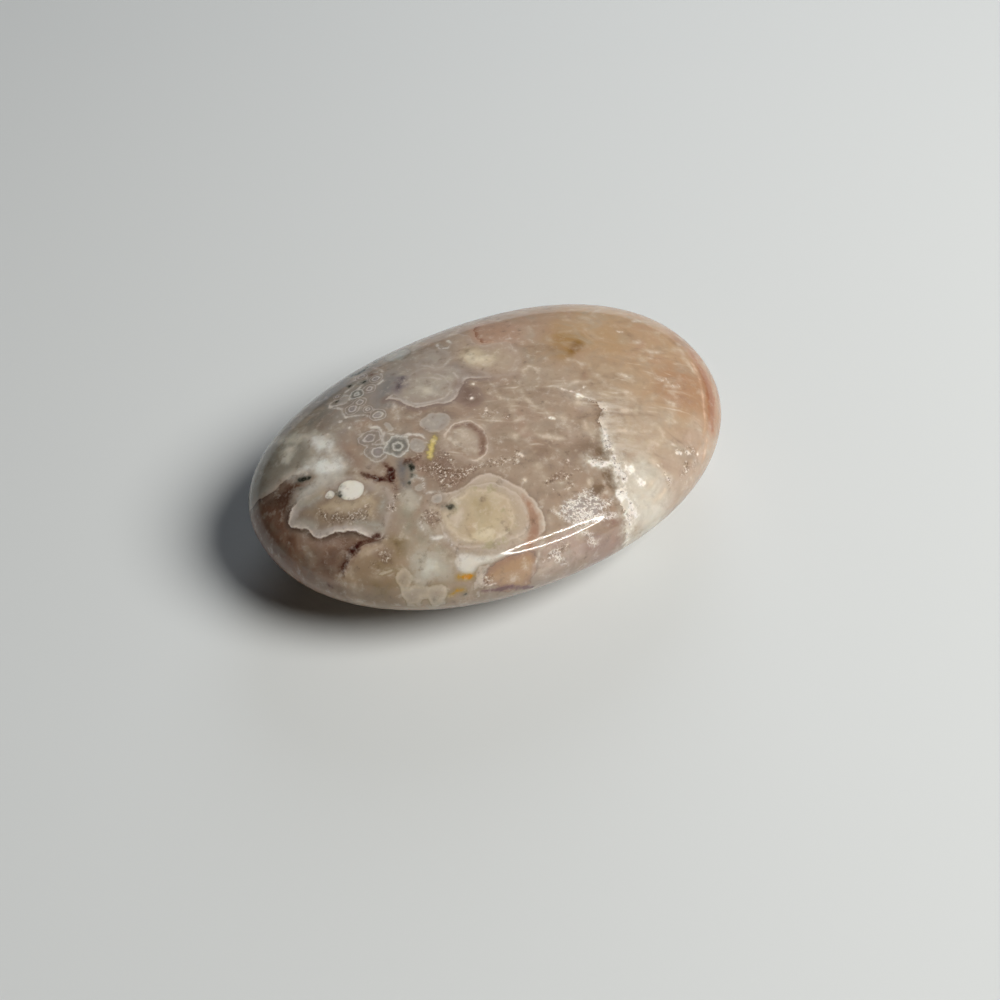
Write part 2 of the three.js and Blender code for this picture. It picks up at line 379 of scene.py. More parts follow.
         (1.4, 3.4),
         (0.6, 5.2), (-1.4, 6.9), (-2.4, 8.4), (-4.1, 9.2), (-5.5, 10.4), (-7.4, 10.2), (-9.2, 9.0),
         (-10.8, 7.9)],
        [(-5.9, 11.2), (-4.9, 9.9), (-3.7, 8.7), (-2.6, 9.0), (-1.4, 9.9), (-0.9, 11.4), (-1.6, 13.2),
         (-3.2, 14.0), (-5.2, 13.2)],
    ], rim_line=[
        (-12.6, 7.3), (-11.2, 6.2), (-10.7, 4.8), (-10.0, 3.8), (-8.8, 3.2), (-6.2, 2.3), (-5.2, 2.2),
        (-4.2, 2.8), (-2.3, 4.6), (-1.4, 4.8), (-0.2, 4.1), (1.0, 3.5),
    ], rim_stops=[
        # Pale rim line, then a thin band of painted shade outside it, for depth.
        (-0.9, "#b1a79f", 0.0), (-0.6, "#aca199", 0.8), (-0.36, "#b3a79e", 0.85), (-0.14, "#cbc0b6", 0.95),
        (0.02, "#c2b4a9", 0.9), (0.16, "#83706a", 0.7), (0.9, "#8b776c", 0.0),
    ]),
    "blossom_line": Growth([
        (-0.06, "#cabfb4", 0.85), (0.08, "#bfb3a9", 0.5), (0.35, "#ab9f94", 0.0),
    ], 0.25, 0.0, chains=[
        [(-10.7, 5.8, 0.02), (-10.0, 4.6, 0.05), (-9.1, 3.9, 0.06), (-7.9, 3.5, 0.06), (-6.8, 3.3, 0.06),
         (-5.7, 3.2, 0.05), (-4.8, 3.9, 0.04), (-4.1, 5.4, 0.04), (-4.0, 6.9, 0.03), (-4.6, 8.0, 0.0)],
        [(-3.1, 4.4, 0.02), (-2.6, 5.6, 0.06), (-2.6, 7.0, 0.0)],
        [(-5.2, 10.8, 0.05), (-4.2, 9.2, 0.08), (-3.2, 8.8, 0.06), (-2.2, 9.4, 0.06), (-1.2, 10.2, 0.04),
         (-0.4, 9.0, 0.0)],
        [(-11.8, 6.2, 0.04), (-12.1, 5.1, 0.06), (-12.5, 4.4, 0.06), (-12.5, 3.3, 0.04), (-13.0, 2.7, 0.02)],
        [(-6.9, 8.6, 0.03), (-5.4, 7.6, 0.06), (-4.6, 6.6, 0.03)],
    ]),
    "white_nib": Growth([
        (-0.4, "#d0c8b9", 0.9), (0.0, "#c6bdae", 0.7), (0.6, "#b9afa2", 0.0),
    ], 0.5, 0.2, outlines=[[(-7.8, 6.9), (-6.9, 6.4), (-6.5, 5.5), (-6.5, 4.6), (-7.2, 4.6), (-7.8, 5.6)]]),
    "mid_shades": Growth([
        (-0.6, "#7f6a60", 0.75), (0.1, "#8a766b", 0.5), (1.2, "#9a877b", 0.0),
    ], 0.5, 0.4, chains=[
        [(-2.8, 4.4, 0.3), (-2.8, 2.9, 0.8), (-3.2, 1.4, 0.9), (-2.4, 0.4, 0.5)],
        [(-7.4, 1.9, 0.3), (-7.0, 0.6, 0.3), (-6.4, -0.6, 0.2)], [(-10.9, -5.2, 0.4), (-11.3, -6.8, 0.5)],
        [(-1.0, 6.0, 0.1), (0.6, 4.6, 0.25), (2.2, 3.4, 0.3), (4.0, 2.2, 0.1)],
    ]),
    "mauve_streak": Growth([
        (-0.4, "#6b6164", 0.95), (0.1, "#7f7577", 0.6), (0.9, "#938c8c", 0.0),
    ], 0.6, 0.3, chains=[[(-10.3, 8.3, 0.3), (-9.5, 9.0, 0.5), (-8.7, 10.0, 0.35)]]),
    "cream_halo": Growth([
        (-1.8, "#b9a793", 0.8), (-0.6, "#b6a392", 0.75), (-0.1, "#bbaa9a", 0.65), (0.4, "#b09d8c", 0.4),
        (1.6, "#a6958a", 0.0),
    ], 0.5, 0.3, outlines=[
        [(1.4, 3.5), (3.2, 2.4), (4.6, 2.4), (5.6, 3.7), (6.4, 4.7), (6.8, 6.2), (6.8, 7.6), (7.1, 8.7),
         (6.4, 9.4), (5.0, 9.8), (3.9, 10.0), (3.0, 11.2), (3.2, 13.4), (2.6, 15.4), (1.0, 16.0),
         (0.2, 14.0),
         (0.4, 12.0), (-0.8, 10.2), (-0.8, 8.0), (0.4, 5.6)],
    ], rim_line=[(2.6, 15.4), (3.2, 13.4), (3.0, 11.2), (3.9, 10.0), (6.4, 9.4), (7.1, 8.7), (6.9, 7.4)],
        rim_stops=[
        (-0.8, "#b9a898", 0.0), (-0.25, "#bcab9b", 0.6), (-0.05, "#c6b6a6", 0.85), (0.1, "#b5a294", 0.7),
        (0.9, "#a38f80", 0.0),
    ]),
    "cream_core": Growth([
        (-1.0, "#e2d6bf", 0.95), (-0.4, "#d3c5ac", 0.85), (0.2, "#c4b49c", 0.5), (1.0, "#b5a48f", 0.0),
    ], 0.6, 0.3, outlines=[
        [(-0.3, 9.4), (1.0, 10.0), (2.2, 9.9), (2.5, 8.9), (2.9, 7.8), (3.5, 6.6), (2.8, 5.9), (1.6, 6.0),
         (0.4, 6.7), (-0.3, 7.9)],
    ]),
    "core_shade": Growth([
        (-0.3, "#a8967f", 0.8), (0.2, "#b5a48d", 0.4), (0.8, "#c4b49c", 0.0),
    ], 0.6, 0.2, chains=[[(0.2, 9.9, 0.1), (1.4, 10.4, 0.2), (2.8, 10.2, 0.15)],
    [(0.9, 8.2, 0.1), (1.7, 8.5, 0.15)]]),
    "rose_fold": Growth([
        (-1.6, "#b4947e", 0.8), (-0.4, "#b79884", 0.75), (0.2, "#ba9d88", 0.45), (1.6, "#b59a86", 0.0),
    ], 0.5, 0.3, outlines=[
        [(4.9, 15.2), (6.8, 15.0), (9.4, 13.6), (9.8, 10.6), (8.2, 8.6), (7.2, 9.2), (6.0, 9.7), (4.9, 10.3),
         (3.8, 10.9), (4.0, 12.8)],
    ], rim_line=[(4.9, 15.4), (4.4, 14.0), (3.8, 12.4), (3.5, 11.2), (3.9, 10.4)], rim_stops=[
        (-0.9, "#ae8b76", 0.0), (-0.4, "#9c735c", 0.7), (-0.06, "#94674f", 0.85), (0.06, "#bd9d89", 0.8),
        (0.4, "#c2a592", 0.5), (1.0, "#c2a692", 0.0),
    ]),
    "rose_line": Growth([
        (-0.06, "#cdb09c", 0.8), (0.1, "#c2a28d", 0.5), (0.4, "#b3937e", 0.0),
    ], 0.3, 0.0, chains=[[(4.3, 10.8, 0.02), (5.0, 10.1, 0.06), (5.9, 9.5, 0.07), (6.8, 9.2, 0.06),
                          (7.3, 8.3, 0.03)]]),
    # Pale rimmed blossoms; the dark band just outside each rim is painted shade, for depth.
    "back_blossoms": Growth([
        (-1.6, "#c2b3a0", 0.9), (-0.9, "#b3a493", 0.85), (-0.4, "#a99b8d", 0.8), (-0.12, "#c6bbb0", 0.95),
        (0.04, "#d2c8bd", 0.9), (0.16, "#8d7b70", 0.6), (0.8, "#98877b", 0.0),
    ], 0.5, 0.5, chains=[
        [(-4.6, 22.0, 1.4), (-2.4, 22.6, 1.9), (0.2, 22.2, 1.2)], [(9.0, 21.6, 1.2), (11.4, 21.4, 1.7)],
        [(21.0, 18.6, 1.5)], [(-18.0, 20.4, 1.0), (-15.6, 21.2, 1.4)],
        [(30.0, 12.4, 1.1), (31.2, 10.6, 0.8)],
    ], under=[[(-24.0, 9.0, 1.2), (-22.0, 10.4, 1.6)], [(16.0, 12.0, 1.8), (18.4, 11.0, 1.2)],
              [(-2.0, -2.0, 1.6), (-4.0, -3.4, 1.2)], [(22.0, -8.0, 1.4)]]),
    "far_pebble": Growth([
        (-0.6, "#b0aca3", 0.95), (-0.05, "#aba79e", 0.8), (0.15, "#8a857b", 0.5), (0.6, "#948f85", 0.0),
    ], 0.2, 0.1, outlines=[
        [(-8.0, 16.8), (-7.0, 18.2), (-5.6, 18.0), (-4.6, 16.6), (-5.2, 15.0), (-6.5, 14.5), (-7.8, 15.2)],
    ]),
    "olive_hollow": Growth([
        (-0.5, "#85724f", 0.85), (0.1, "#917f5e", 0.5), (1.0, "#a08f70", 0.0),
    ], 0.7, 0.4, chains=[
        [(-21.2, -11.7, 0.3), (-20.6, -12.4, 0.5), (-21.0, -13.2, 0.3)],
        [(-15.9, -13.2, 0.2), (-15.4, -12.4, 0.2)],
        [(-23.6, -12.8, 0.2), (-22.4, -13.3, 0.3)], [(-16.8, -18.8, 0.2), (-15.4, -19.4, 0.2)],
        [(-25.0, -13.8, 0.1), (-24.2, -14.9, 0.3), (-23.4, -15.2, 0.2)],
    ]),
    "front_halo": Growth([
        (-1.8, "#c1b09c", 0.95), (-0.9, "#c4b4a3", 0.95), (-0.3, "#c3b4a4", 0.85), (0.05, "#bdac9c", 0.6),
        (1.0, "#ac9b8c", 0.0),
    ], 0.4, 0.3, outlines=[
        [(-15.4, -10.0), (-13.4, -9.8), (-11.7, -10.4), (-10.2, -10.4), (-8.5, -10.0), (-6.6, -10.5),
         (-5.2, -12.2), (-4.1, -14.2), (-3.5, -16.2), (-3.5, -17.4), (-4.0, -18.9), (-7.6, -19.0),
         (-11.6, -18.2), (-15.4, -15.6), (-16.2, -13.0)],
    ], rim_line=[
        (-13.4, -9.8), (-11.7, -10.4), (-10.2, -10.4), (-8.5, -10.0), (-6.6, -10.5), (-5.2, -12.2),
        (-4.1, -14.2), (-3.5, -16.2), (-3.5, -17.4), (-4.0, -18.9),
    ], rim_stops=[
        # Pale rim line, then a thin band of painted shade outside it, for depth.
        (-0.8, "#c0af9f", 0.0), (-0.35, "#c4b5a6", 0.7), (-0.08, "#d3c5b7", 0.9), (0.06, "#bdad9e", 0.8),
        (0.2, "#857060", 0.55), (0.9, "#8c7766", 0.0),
    ]),
    "halo_inner": Growth([
        (-1.2, "#bfae9c", 0.0), (-0.5, "#c2b2a1", 0.7), (-0.08, "#cfc1b2", 0.85), (0.1, "#b3a291", 0.5),
        (0.7, "#baa999", 0.0),
    ], 0.35, 0.2, outlines=[
        [(-15.0, -12.0), (-13.0, -11.0), (-10.2, -10.8), (-8.0, -11.1), (-6.2, -12.5), (-4.9, -14.6),
         (-4.9, -16.8), (-6.1, -18.3), (-9.0, -18.2), (-13.4, -17.0), (-15.2, -15.2)],
    ]),
    "rust_crescent": Growth([
        (-0.5, "#a98671", 0.95), (-0.1, "#ad8b76", 0.9), (0.1, "#b79a86", 0.6), (0.5, "#bba28e", 0.0),
    ], 0.3, 0.2, outlines=[
        [(-4.6, -14.6), (-4.0, -16.7), (-4.6, -18.7), (-6.6, -19.9), (-6.9, -19.3), (-5.5, -18.2),
         (-4.8, -16.2)],
    ]),
    "front_blossom": Growth([
        (-2.6, "#c6b596", 0.95), (-1.7, "#cbbb9f", 0.95), (-1.1, "#c8b8a0", 0.95), (-0.5, "#cfc0a8", 0.95),
        (-0.15, "#d8cab4", 0.9), (0.08, "#c3b39d", 0.75), (0.3, "#af9e89", 0.35), (0.9, "#b3a28d", 0.0),
    ], 0.45, 0.3, outlines=[
        [(-14.5, -12.4), (-12.8, -11.5), (-10.2, -11.1), (-7.8, -12.2), (-6.5, -14.3), (-6.8, -16.6),
         (-8.8, -17.6), (-10.8, -17.4), (-13.0, -16.4), (-14.5, -14.8)],
    ]),
    "blossom_dome": Growth([
        (-0.8, "#d8cbba", 0.9), (-0.3, "#d0c2b1", 0.8), (0.05, "#c0b09d", 0.5), (0.5, "#b5a48d", 0.3),
        (1.0, "#c5b59b", 0.0),
    ], 0.5, 0.3, outlines=[
        [(-14.0, -13.0), (-13.3, -12.2), (-12.3, -11.9), (-11.6, -12.6), (-11.9, -13.5), (-12.6, -14.3),
         (-13.6, -14.4)],
    ]),
    "blossom_pinks": Growth([
        (-0.5, "#b9a48a", 0.8), (0.1, "#c1ad93", 0.5), (0.9, "#cdbba1", 0.0),
    ], 0.8, 0.3, chains=[
        [(-13.8, -15.0, 0.3), (-12.4, -15.4, 0.4)],
        [(-7.4, -13.4, 0.1), (-7.0, -15.2, 0.3), (-7.8, -16.8, 0.2)],
        [(-11.6, -12.6, 0.1), (-11.6, -14.2, 0.2), (-12.2, -15.0, 0.2)],
        [(-10.6, -11.6, 0.1), (-8.8, -12.0, 0.2)],
    ]),
    "mustard": Growth([
        (-0.9, "#b8a688", 0.85), (-0.2, "#c0b096", 0.6), (0.8, "#c9b99d", 0.0),
    ], 0.7, 0.3, outlines=[
        [(-10.8, -11.9), (-9.5, -11.9), (-8.0, -13.0), (-8.2, -14.9), (-9.9, -15.5), (-11.2, -13.8)],
    ]),
    "bright_lobe": Growth([
        (-0.6, "#dccfb4", 0.95), (-0.1, "#d2c4a8", 0.85), (0.1, "#c6b597", 0.5), (0.5, "#bfae90", 0.0),
    ], 0.45, 0.2, outlines=[
        [(-12.2, -15.8), (-11.2, -15.6), (-10.1, -15.9), (-9.6, -16.5), (-9.8, -17.0), (-10.4, -17.3),
         (-11.5, -17.0), (-12.4, -16.5)],
    ], chains=[[(-13.2, -12.6, 0.3), (-12.6, -12.3, 0.2)], [(-8.8, -14.6, 0.1), (-8.4, -15.8, 0.15)]]),
    "blossom_teeth": Growth([
        (-0.2, "#a9a17e", 0.6), (0.1, "#b5ab8d", 0.4), (0.4, "#c5b8a0", 0.0),
    ], 1.6, 0.1, chains=[
        [(-13.4, -16.8, 0.1), (-11.8, -17.6, 0.15), (-10.2, -18.1, 0.15), (-8.6, -17.9, 0.1)],
        [(-9.2, -11.5, 0.1), (-8.0, -12.1, 0.1), (-7.3, -13.0, 0.15)],
        [(-7.4, -15.2, 0.1), (-7.0, -16.6, 0.15)],
    ]),
    "white_lip": Growth([
        (-0.5, "#ded9cf", 1.0), (-0.15, "#d5cfc4", 0.95), (0.15, "#c8beb0", 0.55), (0.7, "#bfb2a0", 0.0),
    ], 0.4, 0.3, outlines=[
        [(-15.6, -17.2), (-14.6, -16.8), (-13.0, -17.7), (-11.8, -18.3), (-9.4, -19.1), (-11.4, -19.1),
         (-13.1, -18.8), (-14.4, -18.9), (-15.6, -18.0)],
    ]),
    "lip_wedge": Growth([
        (-0.4, "#d6cabd", 0.9), (0.0, "#c8baab", 0.75), (0.12, "#9d8c78", 0.5), (0.6, "#a8967f", 0.0),
    ], 0.4, 0.2, outlines=[
        [(-13.1, -18.9), (-12.3, -19.0), (-11.9, -19.2), (-12.3, -19.5), (-12.6, -19.8), (-13.1, -20.1),
         (-13.7, -20.0), (-13.9, -19.6), (-13.7, -19.2)],
    ], chains=[[(-14.3, -19.5, 0.15), (-13.9, -20.1, 0.2)]]),
    "terracotta": Growth([
        (-0.9, "#b99a7c", 0.9), (-0.4, "#b09078", 0.9), (0.0, "#ab8b76", 0.8), (0.1, "#80655c", 0.6),
        (0.4, "#a08978", 0.0),
    ], 0.5, 0.2, outlines=[
        [(-12.8, -20.0), (-11.4, -19.4), (-9.2, -19.5), (-6.3, -20.2), (-6.8, -21.5), (-10.3, -21.0)],
    ], under=[[(10.0, -12.0, 1.0), (13.0, -11.0, 1.4)], [(-6.0, 12.0, 0.8)]]),
    "purple_edge": Growth([
        (-0.15, "#7a5b5d", 0.95), (0.08, "#8a6d6c", 0.7), (0.4, "#9c8478", 0.0),
    ], 0.5, 0.2, chains=[
        [(-13.5, -20.1, 0.05), (-11.9, -20.6, 0.22), (-10.0, -21.1, 0.3), (-8.1, -21.5, 0.3),
         (-7.2, -21.7, 0.1)],
    ]),
    # Lilac rounds with pale rims; the darker band just outside is painted shade, for depth.
    "lilac_rounds": Growth([
        (-1.2, "#b2aaa2", 0.9), (-0.4, "#aea69e", 0.9), (-0.08, "#b8afa6", 0.85), (0.06, "#bfb4a9", 0.6),
        (0.2, "#8b7c71", 0.45), (0.8, "#9a8c80", 0.0),
    ], 0.3, 0.2, outlines=[
        [(-10.7, 0.8), (-9.8, 1.4), (-8.6, 1.5), (-7.6, 0.9), (-7.0, -0.2), (-7.7, -1.3), (-9.0, -1.6),
         (-10.2, -1.1), (-10.8, 0.0)],
    ], chains=[
        [(-12.7, -1.9, 0.9), (-12.6, -2.4, 0.9)], [(-16.9, 11.2, 0.8)], [(-15.4, -7.8, 0.5)],
        [(-14.1, -10.2, 0.6)], [(-14.3, 3.2, 0.25), (-14.2, 2.0, 0.3)],
    ], under=[[(0.0, 0.0, 1.6), (2.0, 1.0, 1.4)], [(-8.0, -5.0, 1.2)], [(7.0, 3.0, 1.0)]]),
    "blue_grey": Growth([
        (-0.5, "#6e6d71", 0.9), (0.1, "#7c7977", 0.6), (0.9, "#958a7f", 0.0),
    ], 0.6, 0.3, chains=[[(-15.6, -3.2, 0.3), (-15.9, -4.4, 0.5), (-16.5, -5.6, 0.5), (-16.9, -6.6, 0.3)]]),
    "pearls": Growth([
        (-0.35, "#f3efe5", 1.0), (-0.04, "#ebe5d9", 0.95), (0.08, "#a39385", 0.5), (0.4, "#a08f7d", 0.0),
    ], 0.14, 0.1, outlines=[
        [(-23.9, -2.4), (-23.2, -1.8), (-22.0, -2.0), (-21.1, -3.0), (-21.0, -4.0), (-21.8, -4.8),
         (-23.0, -4.6), (-23.9, -3.6)],
        [(-25.4, -1.9), (-24.8, -1.7), (-24.4, -2.3), (-24.9, -2.8), (-25.5, -2.4)],
    ], under=[[(-10.0, 1.0, 0.9)], [(14.0, -1.0, 0.5)]]),
    "ring_blossom": Growth([
        (-2.4, "#c6b9aa", 0.85), (-1.5, "#bcac9c", 0.8), (-0.8, "#af9e8d", 0.8), (-0.2, "#ad9988", 0.75),
        (0.1, "#bdad9d", 0.6), (0.6, "#b9a898", 0.45), (1.0, "#a59484", 0.3), (1.6, "#a39383", 0.0),
    ], 0.4, 0.2, outlines=[
        [(-9.2, -3.2), (-8.6, -2.4), (-7.2, -1.6), (-5.8, -1.7), (-4.8, -2.7), (-4.4, -4.0), (-4.6, -5.4),
         (-5.2, -6.9), (-6.0, -7.8), (-7.1, -8.1), (-8.2, -7.2), (-8.9, -6.0), (-9.4, -4.8)],
    ], rim_line=[(-8.4, -2.3), (-7.2, -1.6), (-5.8, -1.7), (-4.8, -2.7), (-4.4, -4.0), (-4.6, -5.4),
                 (-5.2, -6.9), (-6.0, -7.8), (-7.1, -8.1)], rim_stops=[
        (-0.5, "#b3a191", 0.0), (-0.2, "#b8a797", 0.5), (-0.04, "#d3c4b5", 0.9), (0.08, "#dccdbe", 0.9),
        (0.22, "#b9a797", 0.6), (0.5, "#b9a898", 0.0),
    ], under=[[(2.0, 9.0, 0.4), (0.0, 12.0, 1.6)], [(-18.0, 0.0, 1.4)]]),
    "ring_shade": Growth([
        (-0.25, "#84695b", 0.95), (0.05, "#957b6d", 0.7), (0.5, "#ad9a8b", 0.0),
    ], 0.5, 0.2, chains=[
        [(-7.2, -2.1, 0.02), (-6.0, -2.2, 0.15), (-5.2, -3.1, 0.28), (-4.9, -4.4, 0.32), (-5.2, -5.8, 0.34),
         (-5.9, -7.0, 0.25), (-6.8, -7.6, 0.05)],
    ]),
    "ring_lights": Growth([
        (-0.2, "#d2c6b7", 0.85), (0.1, "#c6b8a8", 0.5), (0.6, "#bcad9c", 0.0),
    ], 0.8, 0.2, chains=[
        [(-8.7, -3.4, 0.2), (-8.1, -4.6, 0.3), (-7.6, -5.8, 0.3), (-7.0, -6.6, 0.1)],
        [(-7.4, -3.0, 0.15), (-6.6, -3.8, 0.25), (-6.3, -5.0, 0.15)],
    ]),
    "dim_patches": Growth([
        (-0.6, "#7f6b5a", 0.45), (0.0, "#8a7665", 0.3), (1.2, "#9a8674", 0.0),
    ], 0.8, 0.3, chains=[
        [(3.8, -14.2, 0.4), (2.6, -13.2, 0.3)], [(6.6, -12.0, 0.9), (4.4, -12.4, 0.6)], [(0.4, -13.0, 0.4)],
        [(1.2, -10.4, 0.5), (-0.4, -10.8, 0.3)], [(5.2, -19.4, 0.4), (3.8, -20.4, 0.3)], [(-0.8, -2.0, 0.5)],
        [(4.6, -1.6, 0.5), (6.2, -2.0, 0.3)], [(-3.6, -6.6, 0.6), (-2.0, -7.4, 0.4)], [(3.6, -7.6, 0.4)],
        [(7.2, -9.4, 0.5), (8.4, -8.2, 0.5)], [(5.4, -16.6, 0.5), (4.2, -16.0, 0.3)],
    ]),
    # Dark brown spots: painted shade of small hollow places that the skin itself doesn't have.
    "hollows_painted_shade": Growth([
        (-0.5, "#776350", 0.92), (0.0, "#806b57", 0.85), (0.2, "#8e7a68", 0.4), (0.7, "#968270", 0.0),
    ], 0.2, 0.2, outlines=[
        [(7.0, -13.0), (7.8, -12.8), (8.6, -13.3), (8.8, -14.2), (8.3, -14.7), (7.4, -14.4), (6.9, -13.8)],
        [(6.4, -15.5), (7.4, -15.7), (8.1, -16.1), (8.1, -17.0), (7.6, -18.1), (7.0, -18.7), (6.4, -17.9),
         (6.1, -16.8)],
        [(3.8, -16.9), (5.0, -17.0), (5.9, -17.4), (4.6, -18.0), (3.3, -17.7)],
    ], chains=[[(10.6, -8.9, 0.15), (10.9, -8.4, 0.1)]]),
    "front_reds": Growth([
        (-0.5, "#957a6f", 0.7), (0.2, "#a08a7f", 0.4), (1.2, "#b09c90", 0.0),
    ], 0.7, 0.3, chains=[
        [(3.6, -20.6, 0.3), (5.2, -20.8, 0.5), (6.4, -21.2, 0.3)], [(0.8, -21.8, 0.2), (3.0, -21.9, 0.4)],
    ]),
    "soft_flakes": Growth([
        (-0.2, "#d6c7b5", 0.8), (0.05, "#ccbca9", 0.5), (0.6, "#bfae9a", 0.0),
    ], 0.7, 0.2, chains=[
        [(5.5, 2.5, 0.02), (6.6, 2.9, 0.12), (7.1, 2.2, 0.15), (6.9, 1.2, 0.05)],
        [(3.4, 1.3, 0.1), (3.8, 0.6, 0.1)], [(8.0, -2.4, 0.3)],
        [(1.2, -7.8, 0.1), (2.1, -8.8, 0.2), (3.3, -9.7, 0.2), (4.6, -10.2, 0.1)], [(-1.0, -12.2, 0.4)],
        [(4.1, -16.1, 0.1), (3.7, -16.9, 0.02)], [(9.6, -5.0, 0.4), (8.9, -5.9, 0.4)],
        [(8.0, -8.8, 0.02), (7.6, -9.7, 0.08)], [(7.7, -10.7, 0.1)],
        [(14.0, -2.4, 0.02), (13.9, -3.3, 0.1), (14.0, -4.0, 0.02)], [(13.8, -4.6, 0.05), (14.8, -5.8, 0.15),
         (16.1, -6.8, 0.05)], [(17.1, -3.7, 0.05), (17.6, -4.4, 0.15), (17.8, -5.3, 0.05)],
        [(12.4, -5.6, 0.02), (13.6, -6.7, 0.1), (14.8, -7.4, 0.02)],
        [(15.6, -6.9, 0.02), (16.1, -8.4, 0.06)],
        [(21.9, -8.3, 0.02), (22.3, -8.8, 0.1), (22.2, -9.5, 0.02)],
        [(20.8, -9.6, 0.1), (21.4, -10.1, 0.05)],
        [(13.6, -9.1, 0.1), (14.6, -9.5, 0.2), (15.6, -9.5, 0.05)],
        [(16.2, -12.1, 0.1), (16.9, -12.3, 0.05)],
        [(18.7, -12.3, 0.02), (19.9, -12.5, 0.1)],
        [(10.2, -11.4, 0.05), (11.8, -11.8, 0.1), (13.5, -12.4, 0.15),
         (15.6, -12.9, 0.05)], [(14.8, -14.1, 0.05), (15.5, -14.8, 0.15)],
        [(16.4, -14.6, 0.02), (17.2, -13.6, 0.08)],
        [(14.2, -16.6, 0.02), (14.5, -17.6, 0.1), (15.2, -19.2, 0.1)],
        [(13.4, -16.3, 0.03), (13.8, -16.8, 0.08)],
        [(23.4, -0.1, 0.05), (23.8, -0.8, 0.15), (24.7, -1.0, 0.05), (25.6, -1.1, 0.05)],
        [(25.6, 6.3, 0.02), (27.2, 6.5, 0.1), (28.1, 6.2, 0.02)], [(22.8, 1.4, 0.02), (23.6, 1.5, 0.08)],
        [(23.0, -2.0, 0.1)], [(21.4, -5.6, 0.05), (21.9, -6.0, 0.18), (22.8, -6.4, 0.05)],
        [(22.2, -7.2, 0.05), (23.6, -7.5, 0.12)], [(16.9, -3.5, 0.05), (17.8, -4.5, 0.2)],
        [(20.8, -14.5, 0.1), (21.1, -14.8, 0.05)],
        [(17.2, -12.8, 0.02), (17.0, -14.2, 0.06), (17.2, -15.4, 0.02)],
        [(29.6, 0.4, 0.02), (28.7, -2.5, 0.1), (28.4, -4.8, 0.1), (28.8, -6.2, 0.02)],
        [(-1.6, -3.6, 0.08), (-3.2, -3.0, 0.1)], [(0.8, -3.2, 0.12)], [(0.0, -4.7, 0.02), (2.2, -4.9, 0.05),
         (3.9, -4.1, 0.05), (5.2, -3.9, 0.08), (6.5, -5.2, 0.02)], [(3.1, -0.4, 0.02), (3.4, -3.4, 0.05),
         (4.4, -5.9, 0.02)], [(-0.6, 1.2, 0.02), (0.3, -0.5, 0.05), (2.3, -2.1, 0.04)],
        [(11.9, -20.1, 0.2), (13.0, -20.0, 0.2), (13.9, -19.5, 0.1)],
        [(11.3, -18.9, 0.12), (12.8, -18.5, 0.12)],
        [(10.4, -2.4, 0.1), (12.4, -3.2, 0.05)], [(-1.4, -7.0, 0.3), (0.4, -6.6, 0.1)], [(5.6, -7.0, 0.3)],
        [(11.8, 1.6, 0.02), (12.9, 0.9, 0.1), (13.1, 0.1, 0.08)],
    ], under=[[(10.0, 10.0, 0.2), (12.0, 9.0, 0.3)], [(5.0, -4.0, 0.2)],
    [(20.0, -3.0, 0.3), (21.0, -1.0, 0.2)],
              [(-4.0, 6.0, 0.2), (-6.0, 8.0, 0.3)], [(3.0, -6.0, 0.2), (6.0, -8.0, 0.3)]]),
    # Small bright flakes, and pure white specks that are painted glints of tiny crystal faces.
    "flakes_and_painted_glints": Growth([
        (-0.1, "#fff8ee", 1.0), (0.04, "#ebe0d3", 0.75), (0.16, "#cdbdac", 0.3), (0.5, "#a08d7c", 0.0),
    ], 0.45, 0.05, chains=[
        [(-2.9, 1.3, 0.12)], [(-1.5, 3.5, 0.16)], [(-2.1, -0.9, 0.02), (-2.3, -1.5, 0.1)],
        [(-3.6, -0.7, 0.08)],
        [(-0.5, -6.1, 0.14)], [(3.8, -6.3, 0.03), (4.2, -6.5, 0.14), (4.6, -6.9, 0.05)],
        [(-3.3, -13.1, 0.08)],
        [(7.7, -2.1, 0.0), (8.6, -3.2, 0.02), (9.5, -4.4, 0.05), (10.4, -5.6, 0.02)],
        [(9.1, -4.6, 0.03), (10.0, -4.1, 0.06), (11.2, -3.7, 0.02)], [(9.2, -5.4, 0.02), (9.5, -4.4, 0.05)],
        [(22.0, 4.4, 0.12), (22.5, 4.2, 0.04)], [(-0.2, -15.8, 0.02), (1.1, -16.1, 0.06)],
        [(3.0, -13.0, 0.08)],
        [(19.3, -16.2, 0.05), (19.9, -16.3, 0.12)], [(21.2, -16.4, 0.1)], [(20.4, -17.0, 0.1)],
        [(17.4, -17.4, 0.08)],
        [(18.2, -17.9, 0.1)], [(18.9, -18.4, 0.12)], [(18.0, -18.8, 0.08)], [(20.7, -18.0, 0.08)],
        [(17.6, -16.2, 0.03), (18.4, -16.3, 0.06)],
        [(14.2, -17.0, 0.02), (14.7, -18.0, 0.1), (15.1, -19.0, 0.06)],
        [(-0.6, 0.0, 0.08)], [(-2.4, -9.5, 0.1), (-1.9, -9.9, 0.12)], [(-2.8, -10.1, 0.08)],
        [(6.3, -14.1, 0.1)],
        [(-5.0, -21.0, 0.12)], [(-2.2, -17.3, 0.02), (-1.3, -18.2, 0.07), (-0.4, -19.1, 0.09),
         (0.5, -19.6, 0.03)], [(-12.6, -20.3, 0.06), (-11.9, -20.4, 0.08)], [(17.6, -4.3, 0.04)],
        [(-13.6, -20.1, 0.08)],
    ]),
    "white_seam": Growth([
        (-0.4, "#fbf8f2", 1.0), (-0.05, "#f1ede5", 0.95), (0.2, "#dcd6ca", 0.7), (0.7, "#c9c2b5", 0.35),
        (1.6, "#c3bbad", 0.0),
    ], 1.5, 0.2, outlines=[
        [(7.1, -18.5), (8.0, -18.3), (8.7, -19.0), (9.0, -20.0), (8.5, -20.9), (7.6, -20.6), (7.0, -19.6)],
    ], chains=[
